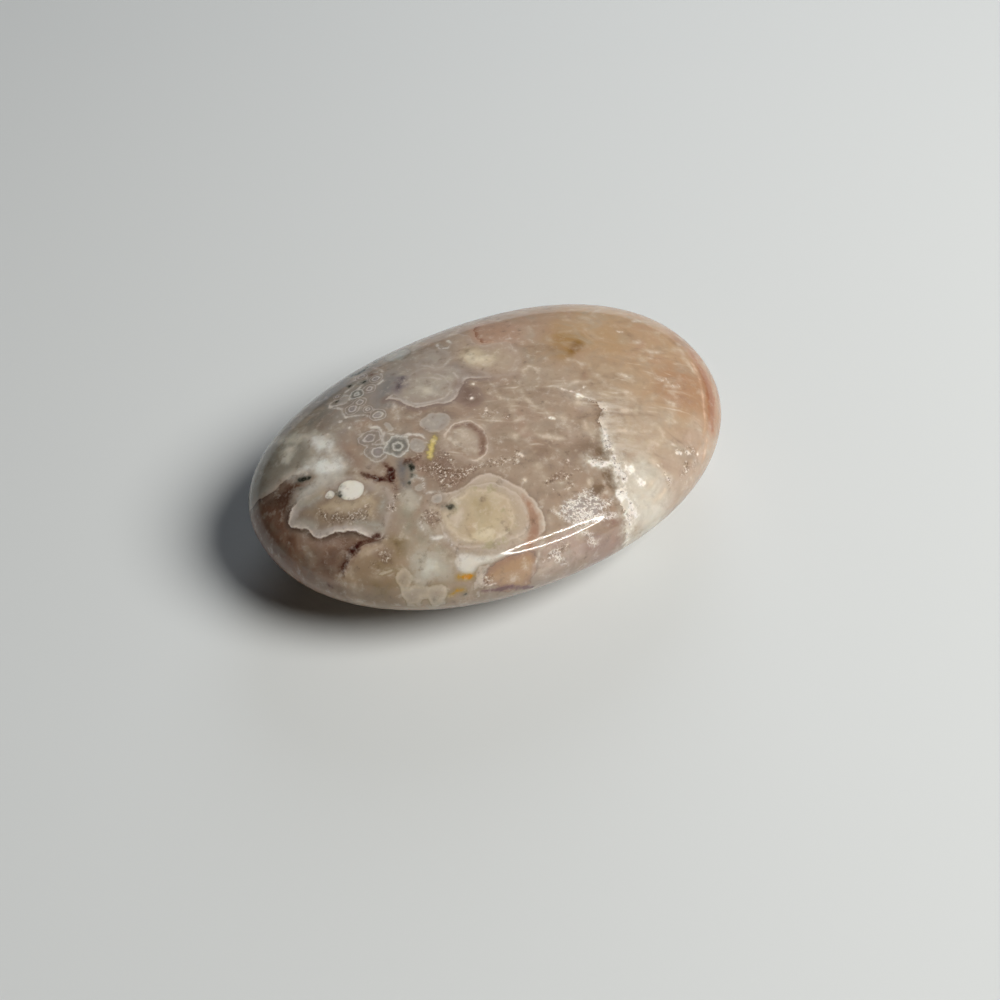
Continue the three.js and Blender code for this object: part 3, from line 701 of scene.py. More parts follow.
        [(6.4, -14.8, 0.05), (7.4, -15.0, 0.2), (8.3, -15.3, 0.25), (8.6, -15.8, 0.3), (8.5, -16.8, 0.45),
         (8.2, -18.0, 0.45)], [(5.4, -13.9, 0.1), (5.9, -14.4, 0.15)],
        [(7.2, -20.6, 0.3), (7.2, -21.4, 0.25), (7.0, -22.0, 0.1)], [(9.4, -13.4, 0.1), (9.0, -14.6, 0.25)],
        [(9.8, -16.4, 0.3), (10.6, -18.0, 0.4)], [(9.6, -11.2, 0.05), (8.8, -12.7, 0.15), (9.0, -13.6, 0.1)],
    ]),
    "rim_band": Growth([
        (-0.6, "#94654a", 0.9), (-0.1, "#9c6f54", 0.85), (0.3, "#a57c60", 0.45), (1.4, "#a67d5f", 0.0),
    ], 0.5, 0.3, chains=[
        [(30.8, -1.2, 0.2), (30.4, -3.6, 0.5), (29.7, -6.2, 0.7), (28.7, -8.8, 0.8), (27.2, -11.2, 0.6),
         (25.6, -13.6, 0.3)],
    ]),
    "rim_light": Growth([
        (-0.08, "#cdb097", 0.85), (0.1, "#bf9f84", 0.5), (0.5, "#a98569", 0.0),
    ], 0.5, 0.1, chains=[
        [(29.2, -3.4, 0.02), (28.8, -5.6, 0.08), (27.6, -8.2, 0.1), (25.8, -11.2, 0.12), (24.6, -13.2, 0.1),
         (23.6, -14.4, 0.02)],
        [(23.9, -14.8, 0.1), (21.8, -16.8, 0.06)],
    ]),
    "pale_lines": Growth([
        (-0.1, "#e6e0d7", 0.95), (0.05, "#d6cec4", 0.8), (0.16, "#c2b8ae", 0.4), (0.4, "#a1978c", 0.1),
        (0.7, "#a1978c", 0.0),
    ], 0.35, 0.05, chains=[
        [(-18.4, 12.2, 0.03), (-17.7, 12.3, 0.05), (-17.0, 11.9, 0.05), (-16.4, 12.4, 0.05),
         (-15.5, 13.0, 0.06),
         (-14.7, 13.1, 0.05), (-13.9, 13.6, 0.03)],
        [(-18.7, 11.2, 0.03), (-18.1, 10.3, 0.08), (-17.7, 9.6, 0.06), (-18.0, 8.7, 0.06),
         (-18.0, 7.8, 0.08),
         (-17.5, 7.5, 0.08), (-16.8, 7.1, 0.06), (-16.1, 6.6, 0.06), (-15.6, 6.0, 0.06)],
        [(-18.4, 12.2, 0.03), (-18.7, 11.4, 0.04), (-17.6, 10.9, 0.06), (-16.6, 10.4, 0.05)],
        [(-11.3, 14.3, 0.05), (-10.6, 14.1, 0.08), (-10.5, 12.8, 0.08), (-11.0, 11.4, 0.08),
         (-12.0, 11.0, 0.08),
         (-12.9, 11.2, 0.04)], [(-10.4, 15.3, 0.08), (-9.9, 14.4, 0.08), (-10.0, 13.3, 0.05)],
        [(-12.4, 15.2, 0.05), (-12.1, 14.2, 0.08), (-12.4, 13.0, 0.05)],
        [(-13.6, 14.8, 0.06), (-12.8, 14.0, 0.06)],
        [(-14.3, 12.0, 0.05), (-13.4, 12.6, 0.06)],
        [(-16.4, 12.6, 0.05), (-15.8, 11.6, 0.05), (-16.2, 10.6, 0.05)],
        [(-17.0, 3.9, 0.06), (-16.5, 4.2, 0.12), (-16.1, 3.7, 0.12), (-15.7, 3.6, 0.08), (-15.5, 3.0, 0.03)],
        [(-15.4, 2.7, 0.02), (-15.7, 1.7, 0.05), (-16.0, 1.0, 0.06), (-16.0, -0.1, 0.06)],
        [(-15.2, 2.0, 0.0), (-13.6, 0.3, 0.04), (-12.8, 0.0, 0.08), (-12.1, -0.4, 0.1), (-11.5, -1.0, 0.06),
         (-11.3, -1.9, 0.03), (-11.5, -3.1, 0.0)],
        [(-17.3, -11.6, 0.02), (-17.3, -12.9, 0.06), (-16.9, -14.0, 0.06), (-15.6, -14.5, 0.03)],
        [(-15.3, -14.4, 0.05), (-15.1, -15.6, 0.08), (-14.8, -16.4, 0.0)],
        [(0.5, 14.4, 0.04), (0.3, 13.2, 0.06), (-0.6, 12.5, 0.08), (-1.5, 13.1, 0.04), (-1.2, 14.4, 0.04)],
        [(-21.5, 12.6, 0.0), (-21.1, 12.0, 0.06), (-20.2, 12.4, 0.0)],
        [(-16.0, -9.2, 0.03), (-15.2, -8.8, 0.06),
         (-14.4, -9.0, 0.05), (-13.4, -9.5, 0.03)],
        [(-15.9, -6.4, 0.0), (-15.0, -6.0, 0.05), (-14.4, -7.0, 0.06),
         (-15.0, -8.6, 0.0)], [(-18.9, 7.6, 0.18)], [(-18.5, 5.6, 0.2)],
        [(-4.5, -19.6, 0.03), (-5.2, -20.2, 0.08), (-6.4, -21.0, 0.08),
         (-7.1, -21.5, 0.03)], [(-21.2, 6.6, 0.08)],
        [(-25.8, 2.6, 0.06), (-26.4, 2.4, 0.02)], [(-17.2, 6.2, 0.05), (-16.4, 5.6, 0.05)],
    ], under=[[(-12.0, 6.0, 0.04), (-10.0, 4.0, 0.06), (-7.0, 3.0, 0.06), (-5.0, 5.0, 0.03)],
              [(5.0, -9.0, 0.05), (8.0, -9.5, 0.08), (11.0, -8.0, 0.03)]]),
    "belt_shade": Growth([
        (-0.8, "#846b5b", 0.8), (0.0, "#8f7666", 0.55), (0.9, "#9d8676", 0.0),
    ], 1.0, 0.5, chains=[
        [(-13.4, -5.0, 0.3), (-12.6, -6.4, 0.7), (-11.6, -7.8, 0.9), (-10.2, -8.6, 0.5), (-8.2, -8.9, 0.2)],
        [(-16.2, -11.4, 0.3), (-15.6, -12.2, 0.3)],
        [(-23.2, -12.2, 0.3), (-22.4, -12.8, 0.4)], [(0.4, -14.2, 0.2), (2.4, -13.4, 0.2)],
    ]),
    # Druzy belts: dark and pale grains, the brightest of them painted glints.
    "speck_belts_painted_glints": Growth((), 1.3, 0.4, chains=[
        [(-14.0, -5.4, 0.4), (-12.8, -6.4, 0.9), (-11.6, -7.6, 1.0), (-10.4, -8.6, 0.7), (-8.0, -9.0, 0.4),
         (-5.6, -9.4, 0.4), (-2.6, -9.7, 0.4)],
        [(-12.9, -9.2, 0.4), (-10.2, -9.4, 0.2)], [(-10.6, -4.8, 0.3), (-10.0, -6.2, 0.3)],
        [(-25.8, -5.2, 0.3), (-24.2, -6.4, 0.5), (-22.4, -7.0, 0.6), (-22.6, -8.0, 0.3)],
        [(-20.4, -2.2, 0.2), (-19.2, -3.8, 0.3), (-18.4, -4.8, 0.3)],
        [(-19.4, -8.4, 0.3), (-18.4, -7.2, 0.3)],
        [(-16.6, -11.4, 0.5), (-15.5, -11.4, 0.6), (-15.2, -12.4, 0.4)],
        [(-22.7, -12.3, 0.3), (-22.2, -12.9, 0.3)],
        [(-24.5, -12.3, 0.2), (-24.0, -12.8, 0.2)], [(-26.8, -3.4, 0.2), (-26.6, -4.4, 0.3)],
        [(-0.9, -14.3, 0.2), (0.1, -14.1, 0.4), (1.3, -13.7, 0.4), (2.6, -13.2, 0.2)],
        [(0.4, -14.5, 0.1), (3.0, -14.6, 0.2), (3.7, -14.7, 0.1)], [(-1.4, -15.5, 0.1), (1.1, -16.1, 0.15)],
        [(6.2, -13.9, 0.4), (6.9, -14.4, 0.4)],
        [(8.7, -15.6, 0.4), (8.6, -17.0, 0.4), (8.0, -18.4, 0.4), (8.2, -19.8, 0.6),
         (7.4, -21.2, 0.4)], [(9.6, -11.4, 0.15), (8.8, -13.0, 0.2), (9.0, -14.6, 0.25)],
        [(14.4, -17.2, 0.1), (15.0, -18.9, 0.15)],
        [(17.2, -18.4, 0.2), (18.6, -17.6, 0.3), (20.4, -17.2, 0.4)],
        [(18.0, -16.1, 0.1), (20.4, -16.2, 0.2)],
        [(-5.2, -21.2, 0.5), (-2.0, -20.9, 0.3)], [(-14.0, -4.0, 0.3), (-13.4, -3.6, 0.2)],
        [(-12.6, -19.9, 0.3), (-13.2, -20.1, 0.2)], [(2.6, 1.5, 0.1), (3.9, 0.2, 0.15)],
        [(-3.0, -2.0, 0.2), (-1.6, -2.6, 0.2), (-0.6, -3.6, 0.1)], [(-15.0, -18.9, 0.1)],
        [(4.6, -19.0, 0.3), (5.6, -19.2, 0.3)], [(21.6, -6.0, 0.1), (23.8, -7.0, 0.2)],
    ], under=[[(6.0, 6.0, 0.6), (9.0, 5.0, 0.8), (12.0, 3.0, 0.5)],
    [(-8.0, -10.0, 0.6), (-4.0, -12.0, 0.8)]]),
    "burst_ground": Growth([
        (-0.6, "#a9a09c", 0.8), (0.1, "#a0948d", 0.5), (0.8, "#a08f83", 0.0),
    ], 0.5, 0.3, outlines=[
        [(-0.4, -17.6), (1.1, -17.4), (2.6, -17.5), (3.8, -18.0), (4.3, -18.8), (4.0, -19.6), (2.7, -20.0),
         (1.2, -20.0), (-0.1, -19.6), (-0.7, -18.7)],
    ]),
    "needle_burst": Growth((), 0.45, 0.3, outlines=[
        [(-0.7, -17.4), (1.0, -17.1), (2.7, -17.2), (4.0, -17.8), (4.5, -18.8), (4.1, -19.7), (2.8, -20.2),
         (1.1, -20.3), (-0.2, -19.9), (-0.9, -18.8)],
    ], chains=[
        [(-2.1, -17.4, 0.05), (-1.3, -18.3, 0.25), (-0.6, -19.0, 0.3), (0.4, -19.6, 0.3)],
        [(2.8, -17.0, 0.1), (3.9, -17.2, 0.3)], [(0.4, -20.4, 0.3), (1.3, -21.1, 0.5), (1.8, -21.7, 0.3)],
        [(4.4, -19.2, 0.4), (5.6, -19.2, 0.35)], [(2.5, -20.2, 0.3), (3.9, -20.2, 0.4), (5.4, -20.3, 0.3)],
        [(-4.1, -20.9, 0.3), (-3.4, -21.5, 0.4), (-2.1, -22.0, 0.2)],
    ]),
    "gold_dash": Growth([
        (-0.35, "#e6d48e", 0.95), (-0.12, "#d6c47c", 0.9), (0.05, "#b5a264", 0.8), (0.16, "#8f7f58", 0.4),
        (0.5, "#a0947a", 0.0),
    ], 0.55, 0.1, chains=[[(-10.3, -2.1, 0.36), (-11.0, -3.1, 0.46), (-11.7, -3.9, 0.46),
    (-12.3, -4.6, 0.36)]]),
    "ochre_spots": Growth([
        (-0.2, "#cf9130", 1.0), (0.0, "#bf9437", 0.85), (0.2, "#b4984f", 0.4), (0.6, "#b39b68", 0.0),
    ], 0.45, 0.2, chains=[
        [(-15.6, -18.5, 0.26), (-14.9, -18.85, 0.3), (-14.3, -19.1, 0.2)],
        [(-17.0, -18.9, 0.1), (-16.3, -19.1, 0.16), (-15.7, -19.35, 0.2)],
    ], under=[[(3.0, -2.0, 0.2)]]),
    "iron_stains": Growth([
        (-0.25, "#43201a", 1.0), (0.0, "#5b382c", 0.85), (0.25, "#7e5e4f", 0.4), (0.7, "#8f7767", 0.0),
    ], 0.7, 0.2, chains=[
        [(-17.4, -2.7, 0.15), (-17.3, -3.6, 0.35), (-17.6, -4.6, 0.55), (-17.7, -5.4, 0.5),
         (-17.9, -6.2, 0.25)],
        [(-14.8, -3.6, 0.2), (-14.2, -4.2, 0.18)], [(-13.8, -4.2, 0.1)], [(-12.9, -4.8, 0.12)],
        [(-26.4, -9.3, 0.05), (-25.8, -9.6, 0.1)], [(-11.3, 14.1, 0.12)], [(-29.3, -10.6, 0.08)],
        [(-20.4, -2.0, 0.04), (-19.7, -3.0, 0.12), (-19.1, -3.9, 0.16), (-18.4, -4.6, 0.25)],
        [(-22.4, -10.4, 0.05), (-23.4, -10.2, 0.22), (-24.2, -9.8, 0.12), (-25.0, -9.8, 0.3),
         (-26.0, -10.0, 0.35),
         (-26.7, -10.3, 0.15), (-27.5, -10.6, 0.25), (-28.2, -10.9, 0.05)],
    ], under=[[(-14.0, -5.0, 0.2), (-13.0, -6.0, 0.1)]]),
    "moss_specks": Growth([
        (-0.15, "#2e2e27", 1.0), (0.05, "#4b4d45", 0.85), (0.3, "#7b7a70", 0.35), (0.8, "#8d887e", 0.0),
    ], 0.7, 0.1, chains=[
        [(-27.2, 2.3, 0.1), (-26.5, 2.0, 0.25), (-25.7, 1.7, 0.15)],
        [(-27.6, 1.2, 0.08), (-27.0, 0.9, 0.08)],
        [(-14.8, -4.5, 0.2), (-15.0, -5.0, 0.1)], [(-15.3, -5.8, 0.16)], [(-16.0, -6.6, 0.1)],
        [(-13.6, -11.4, 0.12), (-13.3, -11.9, 0.25)],
        [(-13.6, 13.3, 0.1), (-13.1, 13.0, 0.2), (-12.6, 13.1, 0.1)],
        [(-13.2, 16.7, 0.3), (-12.4, 16.4, 0.25), (-11.6, 16.6, 0.3), (-10.9, 16.8, 0.2)],
        [(-15.4, 11.5, 0.12)],
        [(-23.8, -2.6, 0.1)], [(-23.6, -2.2, 0.06)], [(-23.9, -3.2, 0.05)], [(-16.6, 12.7, 0.08)],
        [(-17.6, 11.8, 0.06)], [(-14.6, 14.0, 0.1)], [(-9.2, 17.4, 0.2), (-8.4, 18.4, 0.2)],
        [(-15.5, -19.5, 0.08)],
        [(-15.6, 10.2, 0.06)],
    ], under=[[(-1.0, 4.0, 0.2)], [(9.0, 1.0, 0.15)]]),
}

# Banded eyes: middle and radius of the outer band. Their colours go by the share of the way out.
PALE_EYES = [
    (-17.2, 2.3, 1.35), (-17.3, -0.2, 1.55), (-14.5, 5.3, 1.05), (-16.7, 8.6, 1.05), (-11.4, 12.5, 0.95),
    (-13.1, 11.0, 1.0), (-15.2, 9.2, 1.0), (-12.6, 14.8, 0.9), (-15.1, 7.2, 0.7), (-17.0, 12.9, 0.6),
]
MOSS_EYES = [(-14.8, -0.9, 1.7), (-14.9, 11.1, 1.05)]
PALE_EYE_STOPS = [
    (0.0, "#a49b97", 0.9), (0.36, "#9a918d", 0.9), (0.46, "#c0b8b0", 0.95), (0.54, "#d3cbc3", 0.97),
    (0.62, "#a69c93", 0.85), (0.76, "#968b82", 0.8), (0.90, "#a0958b", 0.8), (0.97, "#c6bdb4", 0.9),
    (1.03, "#bbb1a6", 0.65), (1.12, "#94857a", 0.4), (1.35, "#958779", 0.0),
]
MOSS_EYE_STOPS = [
    (0.0, "#8b8983", 0.9), (0.16, "#6f6d67", 0.9), (0.3, "#b3b0a8", 0.95), (0.42, "#cfccc4", 0.95),
    (0.52, "#98958d", 0.9), (0.64, "#7b7972", 0.9), (0.76, "#918e87", 0.85), (0.88, "#b7b3ab", 0.9),
    (0.97, "#d8d4cb", 0.95), (1.06, "#a8a297", 0.5), (1.2, "#a8a297", 0.0),
]

# The jagged edge of the quartz, from the back to the front.
QUARTZ_EDGE = [
    (9.8, -4.0), (10.1, -5.3), (10.9, -6.8), (11.5, -8.0), (10.5, -8.8), (9.8, -9.6), (9.6, -10.9),
    (9.2, -11.8),
    (8.5, -12.6), (8.6, -13.2), (9.1, -13.9), (8.8, -14.8), (8.1, -15.2), (8.3, -16.3), (8.2, -17.1),
    (7.5, -18.1),
    (6.9, -19.0), (7.1, -20.2), (7.5, -20.8), (6.6, -21.5), (7.0, -22.5),
]

# How far from a growth its field is worked out, and a place that is out of every growth's reach, in
# millimetres.
REACH = 4.0
FAR_OFF = [99, 99]

# A growth's rim is at full strength up to this far from its line, and then fades out over this much more,
# in millimetres.
RIM_FULL = 0.72
RIM_FADE = 0.6

# The height of the middles of the body's zones, and how far above and below it they reach, in millimetres.
ZONE_HEIGHT = 13
ZONE_DEPTH = 17

# A zone's cover ends at this share of the way out from its middle to its oval, and is full at this much
# less.
ZONE_END = 1.15
ZONE_FADE = 0.7

# The largest share of its radius that is kept for an eye, well outside its last colour.
EYE_END = 3.0

# The skin's points, where each lies when the half that faces away is folded outwards in plan, and the height
# of the widest ring.
Skin = namedtuple("Skin", "points plan middle")


def facing(points, side):
    """The skin as seen from above, where side is 1, or turned over about its long axis, where it is -1."""
    rings = points[:RINGS * AROUND].reshape(RINGS, AROUND, 3)
    widest = np.argmax(np.linalg.norm(rings[..., :2], axis=2).sum(axis=1))
    plan = rings[..., :2].copy()
    away = slice(0, widest) if side == 1 else slice(widest + 1, RINGS)
    plan[away] = 2 * rings[widest, :, :2] - plan[away]
    ends = [FAR_OFF, [0, 0]] if side == 1 else [[0, 0], FAR_OFF]
    flipped = points * (1, 1, side)
    return Skin(flipped, np.vstack([plan.reshape(-1, 2), ends]), rings[widest, 0, 2] * side)


def place_on(skin, x, y):
    """The point of the skin at a place in plan. A place past the widest ring lies round the edge."""
    nearest = np.argmin(((skin.plan - (x, y)) ** 2).sum(axis=1))
    point = skin.points[nearest]
    return np.array((x, y, point[2])) if point[2] > skin.middle else point


def drifted(points, wave, reach):
    """Points pushed about by slow slanted sine waves, each shorter and weaker than the one before."""
    random = np.random.default_rng(5)
    pushed = points.copy()
    for _ in range(4):
        slants = random.normal(size=(3, 3))
        slants = slants / np.linalg.norm(slants, axis=0)
        turns = points @ slants * (2 * math.pi / wave) + random.uniform(0, 2 * math.pi, 3)
        pushed = pushed + reach * np.sin(turns)
        wave, reach = wave * 0.6, reach * 0.7
    return pushed


def body_colours(points):
    """The body's colour at each point of the skin: over the plain body, each zone in turn covers by how
    far inside its oval the drifted point lies."""
    points = drifted(points, 16, 0.7)
    colour = np.tile(linear(BODY)[:3], (len(points), 1))
    for x, y, half_length, half_width, turn, tint, cover in ZONES:
        turn = math.radians(turn)
        east, north = points[:, 0] - x, points[:, 1] - y
        along = (east * math.cos(turn) + north * math.sin(turn)) / half_length
        across = (north * math.cos(turn) - east * math.sin(turn)) / half_width
        down = (points[:, 2] - ZONE_HEIGHT) / ZONE_DEPTH
        away = np.sqrt(along ** 2 + across ** 2 + down ** 2)
        share = np.clip((ZONE_END - away) / ZONE_FADE, 0, 1)
        share = cover * (share * share * (3 - 2 * share))[:, None]
        colour = colour + share * (np.array(linear(tint)[:3]) - colour)
    return colour


def least(first, second, melt):
    """The smaller of two fields, melted together where they are within the melt of each other."""
    if melt == 0:
        return np.minimum(first, second)
    near = np.maximum(melt - np.abs(first - second), 0) / melt
    return np.minimum(first, second) - near ** 3 * melt / 6


def part_near(skin, places):
    """Which points of the skin lie within reach of a group of places in plan, and the skin of those only."""
    low, high = np.min(places, axis=0)[:2] - REACH, np.max(places, axis=0)[:2] + REACH
    near = np.all((skin.plan > low) & (skin.plan < high), axis=1)
    return near, Skin(skin.points[near], skin.plan[near], skin.middle)


def whole_field(near, field):
    """A field over the whole skin, from one for the points near a growth. The others are out of reach."""
    whole = np.full(len(near), REACH)
    whole[near] = np.minimum(field, REACH)
    return whole


def chain_field(skin, chain, melt):
    """How far each point of the skin lies outside a chain: over its legs, the distance to the nearest place
    on the leg less the radius there."""
    near, skin = part_near(skin, chain)
    field = np.full(len(skin.points), REACH)
    links = [(place_on(skin, x, y), radius) for x, y, radius in chain]
    for (start, first), (end, last) in zip(links, links[1:] or links):
        leg = end - start
        share = np.clip((skin.points - start) @ leg / max(leg @ leg, 1e-9), 0, 1)
        away = np.linalg.norm(skin.points - start - share[:, None] * leg, axis=1)
        field = least(field, away - first - share * (last - first), melt)
    return whole_field(near, field)


def loop_through(places):
    """A smooth loop through places: between two, five steps of the cubic that heads at each place from the
    one before to the one after (Catmull-Rom)."""
    here = np.array(places, dtype=float)
    before, after, beyond = (np.roll(here, shift, axis=0) for shift in (1, -1, -2))
    step = np.arange(5)[:, None, None] / 5
    loop = 2 * here + (after - before) * step
    loop = loop + (2 * before - 5 * here + 4 * after - beyond) * step ** 2
    loop = loop + (3 * here - before - 3 * after + beyond) * step ** 3
    return (loop / 2).transpose(1, 0, 2).reshape(-1, 2)


def outline_field(skin, places):
    """How far each point of the skin lies outside a smooth loop, and below zero inside it: the distance to
    the loop's nearest leg. A point is inside where a line to the east crosses the loop an odd number of
    times."""
    loop = loop_through(places)
    near, skin = part_near(skin, loop)
    x, y = skin.plan[:, 0, None], skin.plan[:, 1, None]
    (first_x, first_y), (next_x, next_y) = loop.T, np.roll(loop, -1, axis=0).T
    rise = np.where(next_y == first_y, 1e-9, next_y - first_y)
    crossed = ((first_y > y) != (next_y > y)) & (x < first_x + (y - first_y) * (next_x - first_x) / rise)
    inside = crossed.sum(axis=1) % 2 == 1
    start = np.array([place_on(skin, *place) for place in loop])
    away = np.full(len(skin.points), REACH)
    for corner, following in zip(start, np.roll(start, -1, axis=0)):
        leg = following - corner
        share = np.clip((skin.points - corner) @ leg / max(leg @ leg, 1e-9), 0, 1)
        away = np.minimum(away, np.linalg.norm(skin.points - corner - share[:, None] * leg, axis=1))
    return whole_field(near, np.where(inside, -away, away))


def growth_field(upper, under, growth):
    """How far each point of the skin lies outside a growth: the least over its outlines and chains."""
    fields = [outline_field(upper, outline) for outline in growth.outlines]
    fields += [chain_field(upper, chain, growth.melt) for chain in growth.chains]
    fields += [chain_field(under, chain, growth.melt) for chain in growth.under]
    return functools.reduce(lambda first, second: least(first, second, growth.melt), fields)


def eye_share(skin, eyes):
    """At each point of the skin, the share of the way out from the middle of the nearest eye."""
    shares = [np.linalg.norm(skin.points - place_on(skin, x, y), axis=1) / radius for x, y, radius in eyes]
    return np.minimum(np.min(shares, axis=0), EYE_END)


def right_of_edge(points):
    """How far each point lies right of the quartz's jagged edge, in plan, and below zero left of it."""
    edge = np.array(QUARTZ_EDGE, dtype=float)
    start, leg = edge[:-1, None], (edge[1:] - edge[:-1])[:, None]
    toward = points[None, :, :2] - start
    share = np.clip((toward * leg).sum(axis=2) / (leg * leg).sum(axis=2), 0, 1)
    away = np.linalg.norm(toward - share[..., None] * leg, axis=2).min(axis=0)
    side = np.sign(points[:, 0] - np.interp(points[:, 1], edge[::-1, 1], edge[::-1, 0]))
    return side * away


def draw_agate(mesh, points):
    """Writes the drawing on the mesh: the body's colour, and one field for each growth."""
    def note(name, field):
        mesh.attributes.new(name, "FLOAT", "POINT").data.foreach_set("value", field.astype(np.float32))

    upper, under = facing(points, 1), facing(points, -1)
    body = mesh.attributes.new("body", "FLOAT_COLOR", "POINT")
    body.data.foreach_set("color", np.hstack([body_colours(points), np.ones((len(points), 1))]).ravel())
    for name, growth in GROWTHS.items():
        note(name, growth_field(upper, under, growth))
        if growth.rim_line:
            line = chain_field(upper, [(x, y, 0.0) for x, y in growth.rim_line], 0)
            note(name + "_rim", np.clip(1 - (line - RIM_FULL) / RIM_FADE, 0, 1))
    note("pale_eyes", eye_share(upper, PALE_EYES))
    note("moss_eyes", eye_share(upper, MOSS_EYES))
    note("quartz", right_of_edge(points))


def add(tree, kind, inputs=None, output=0, **settings):
    """Adds a node with its settings, links or fills its inputs, and gives the wanted output."""
    node = tree.nodes.new(kind)
    for name, value in settings.items():
        setattr(node, name, value)
    for place, value in (inputs or {}).items():
        if isinstance(value, bpy.types.NodeSocket):
            tree.links.new(value, node.inputs[place])
        else:
            node.inputs[place].default_value = value
    return node.outputs[output] if output is not None else node


def lay(put, ground, field, stops, where=None):
    """Lays colours over the ground as a field runs through the stops. A stop is a value of the field, a
    colour, and how fully it covers. The cover can be limited to where another field is 1."""
    low, high = stops[0][0], stops[-1][0]
    place = put("ShaderNodeMapRange", {"Value": field, "From Min": low, "From Max": high})
    ramp = put("ShaderNodeValToRGB", {"Fac": place}, None)
    for _ in stops[2:]:
        ramp.color_ramp.elements.new(0.5)
    for element, (value, colour, cover) in zip(ramp.color_ramp.elements, stops):
        element.position = (value - low) / (high - low)
        element.color = (*linear(colour)[:3], cover)
    cover = ramp.outputs["Alpha"]
    if where is not None:
        cover = put("ShaderNodeMath", {0: cover, 1: where}, operation="MULTIPLY")
    return put("ShaderNodeMix", {0: cover, 6: ground, 7: ramp.outputs["Color"]}, 2, data_type="RGBA")


def drawn(put, name, texture, weight):
    """A field of the drawing, made uneven by a texture."""
    field = put("ShaderNodeAttribute", {}, "Fac", attribute_name=name)
    return put("ShaderNodeMath", {0: texture, 1: weight, 2: field}, operation="MULTIPLY_ADD")


def within(put, field, depth):
    """How fully a place lies inside a field's edge: all of it at a depth inside, none at as much outside."""
    return put("ShaderNodeMapRange", {"Value": field, "From Min": depth, "From Max": -depth})


def streaked(put, spot, stretch, shift=0.0):
    """Places pressed together along a line 30 degrees clockwise of +X, so that a texture is drawn out."""
    return put("ShaderNodeMapping", {
        "Vector": spot, "Location": (0, shift, 0), "Rotation": (0, 0, math.radians(-30)),
        "Scale": (stretch, 1.0, 1.4),
    }, vector_type="TEXTURE")


def clear_body(put, ground, spot):
    """Depth in the clear body: dim and pale clouds some 4 mm long, and cool and rosy patches."""
    clouds = put("ShaderNodeTexNoise", {
        "Vector": spot, "Scale": 0.24, "Detail": 4.0, "Roughness": 0.55, "Distortion": 0.8,
    }, None)
    ground = lay(put, ground, clouds.outputs["Fac"], [
        (0.3, "#84705f", 0.4), (0.46, "#9c8879", 0.0), (0.53, "#b5a593", 0.0), (0.68, "#cdbfac", 0.4),
    ])
    tints = put("ShaderNodeSeparateColor", {0: clouds.outputs["Color"]}, "Green")
    return lay(put, ground, tints, [
        (0.3, "#a89f8f", 0.4), (0.47, "#a89f8f", 0.0), (0.53, "#b08c7a", 0.0), (0.7, "#b08c7a", 0.3),
    ])


def folds_painted_lit_and_shaded(put, ground, spot, field):
    """Folds in the clear body, with a painted lit side and a painted shaded side: the difference of one
    drawn-out noise at two places 0.3 mm apart."""
    sides = [put("ShaderNodeTexNoise", {
        "Vector": streaked(put, spot, 2.4, shift), "Scale": 0.42, "Detail": 2.5, "Roughness": 0.5,
        "Distortion": 0.6,
    }) for shift in (0.0, 0.3)]
    # Painted light and shade: one side of each fold lit, the other shaded.
    painted_light_and_shade = put("ShaderNodeMath", {0: sides[0], 1: sides[1]}, operation="SUBTRACT")
    return lay(put, ground, painted_light_and_shade, [
        (-0.16, "#7a675a", 0.45), (-0.05, "#8d7a6c", 0.1), (0.0, "#a08d7c", 0.0), (0.06, "#cbbca9", 0.08),
        (0.11, "#d3c5b2", 0.4), (0.17, "#eae0d2", 0.7),
    ], within(put, field, 1.5))


def quartz(put, ground, spot, edge):
    """The quartz: a thin brown line, partly painted shade along its edge, then a white crumbly seam that
    fades over some 7 mm.
    """
    crumbs = put("ShaderNodeTexNoise", {"Vector": spot, "Scale": 2.2, "Detail": 3.0, "Roughness": 0.75})
    crumbly = put("ShaderNodeMath", {0: crumbs, 1: 1.6, 2: -0.8}, operation="MULTIPLY_ADD")
    crumbly = put("ShaderNodeMath", {0: edge, 1: 0.35, 2: crumbly}, operation="MULTIPLY_ADD")
    right = drawn(put, "quartz", crumbly, 1.0)
    axes = put("ShaderNodeSeparateXYZ", {0: spot}, None)
    front = put("ShaderNodeMapRange", {"Value": axes.outputs["Y"], "From Min": -3.5, "From Max": -8.0})
    glitter = put("ShaderNodeTexNoise", {
        "Vector": streaked(put, spot, 3.0), "Scale": 0.8, "Detail": 4.0, "Roughness": 0.65,
    })
    glitter = put("ShaderNodeMapRange", {
        "Value": glitter, "From Min": 0.4, "From Max": 0.6, "To Min": 0.2, "To Max": 1.0,
    })
    shown = put("ShaderNodeMath", {0: front, 1: glitter}, operation="MULTIPLY")
    ground = lay(put, ground, right, [
        (0.0, "#e2dace", 0.0), (0.3, "#e2dace", 0.9), (1.1, "#dad1c4", 0.6), (3.0, "#d0c6b7", 0.4),
        (7.0, "#c0b19d", 0.0),
    ], shown)
    # The dark band just left of the edge is partly painted shade.
    return lay(put, ground, right, [
        (-1.2, "#7f6a5b", 0.0), (-0.3, "#7b6656", 0.5), (-0.06, "#5f4938", 0.85), (0.04, "#e9dfd2", 0.9),
        (0.3, "#e4dacd", 0.75), (0.9, "#d2c7b8", 0.0),
    ], front)


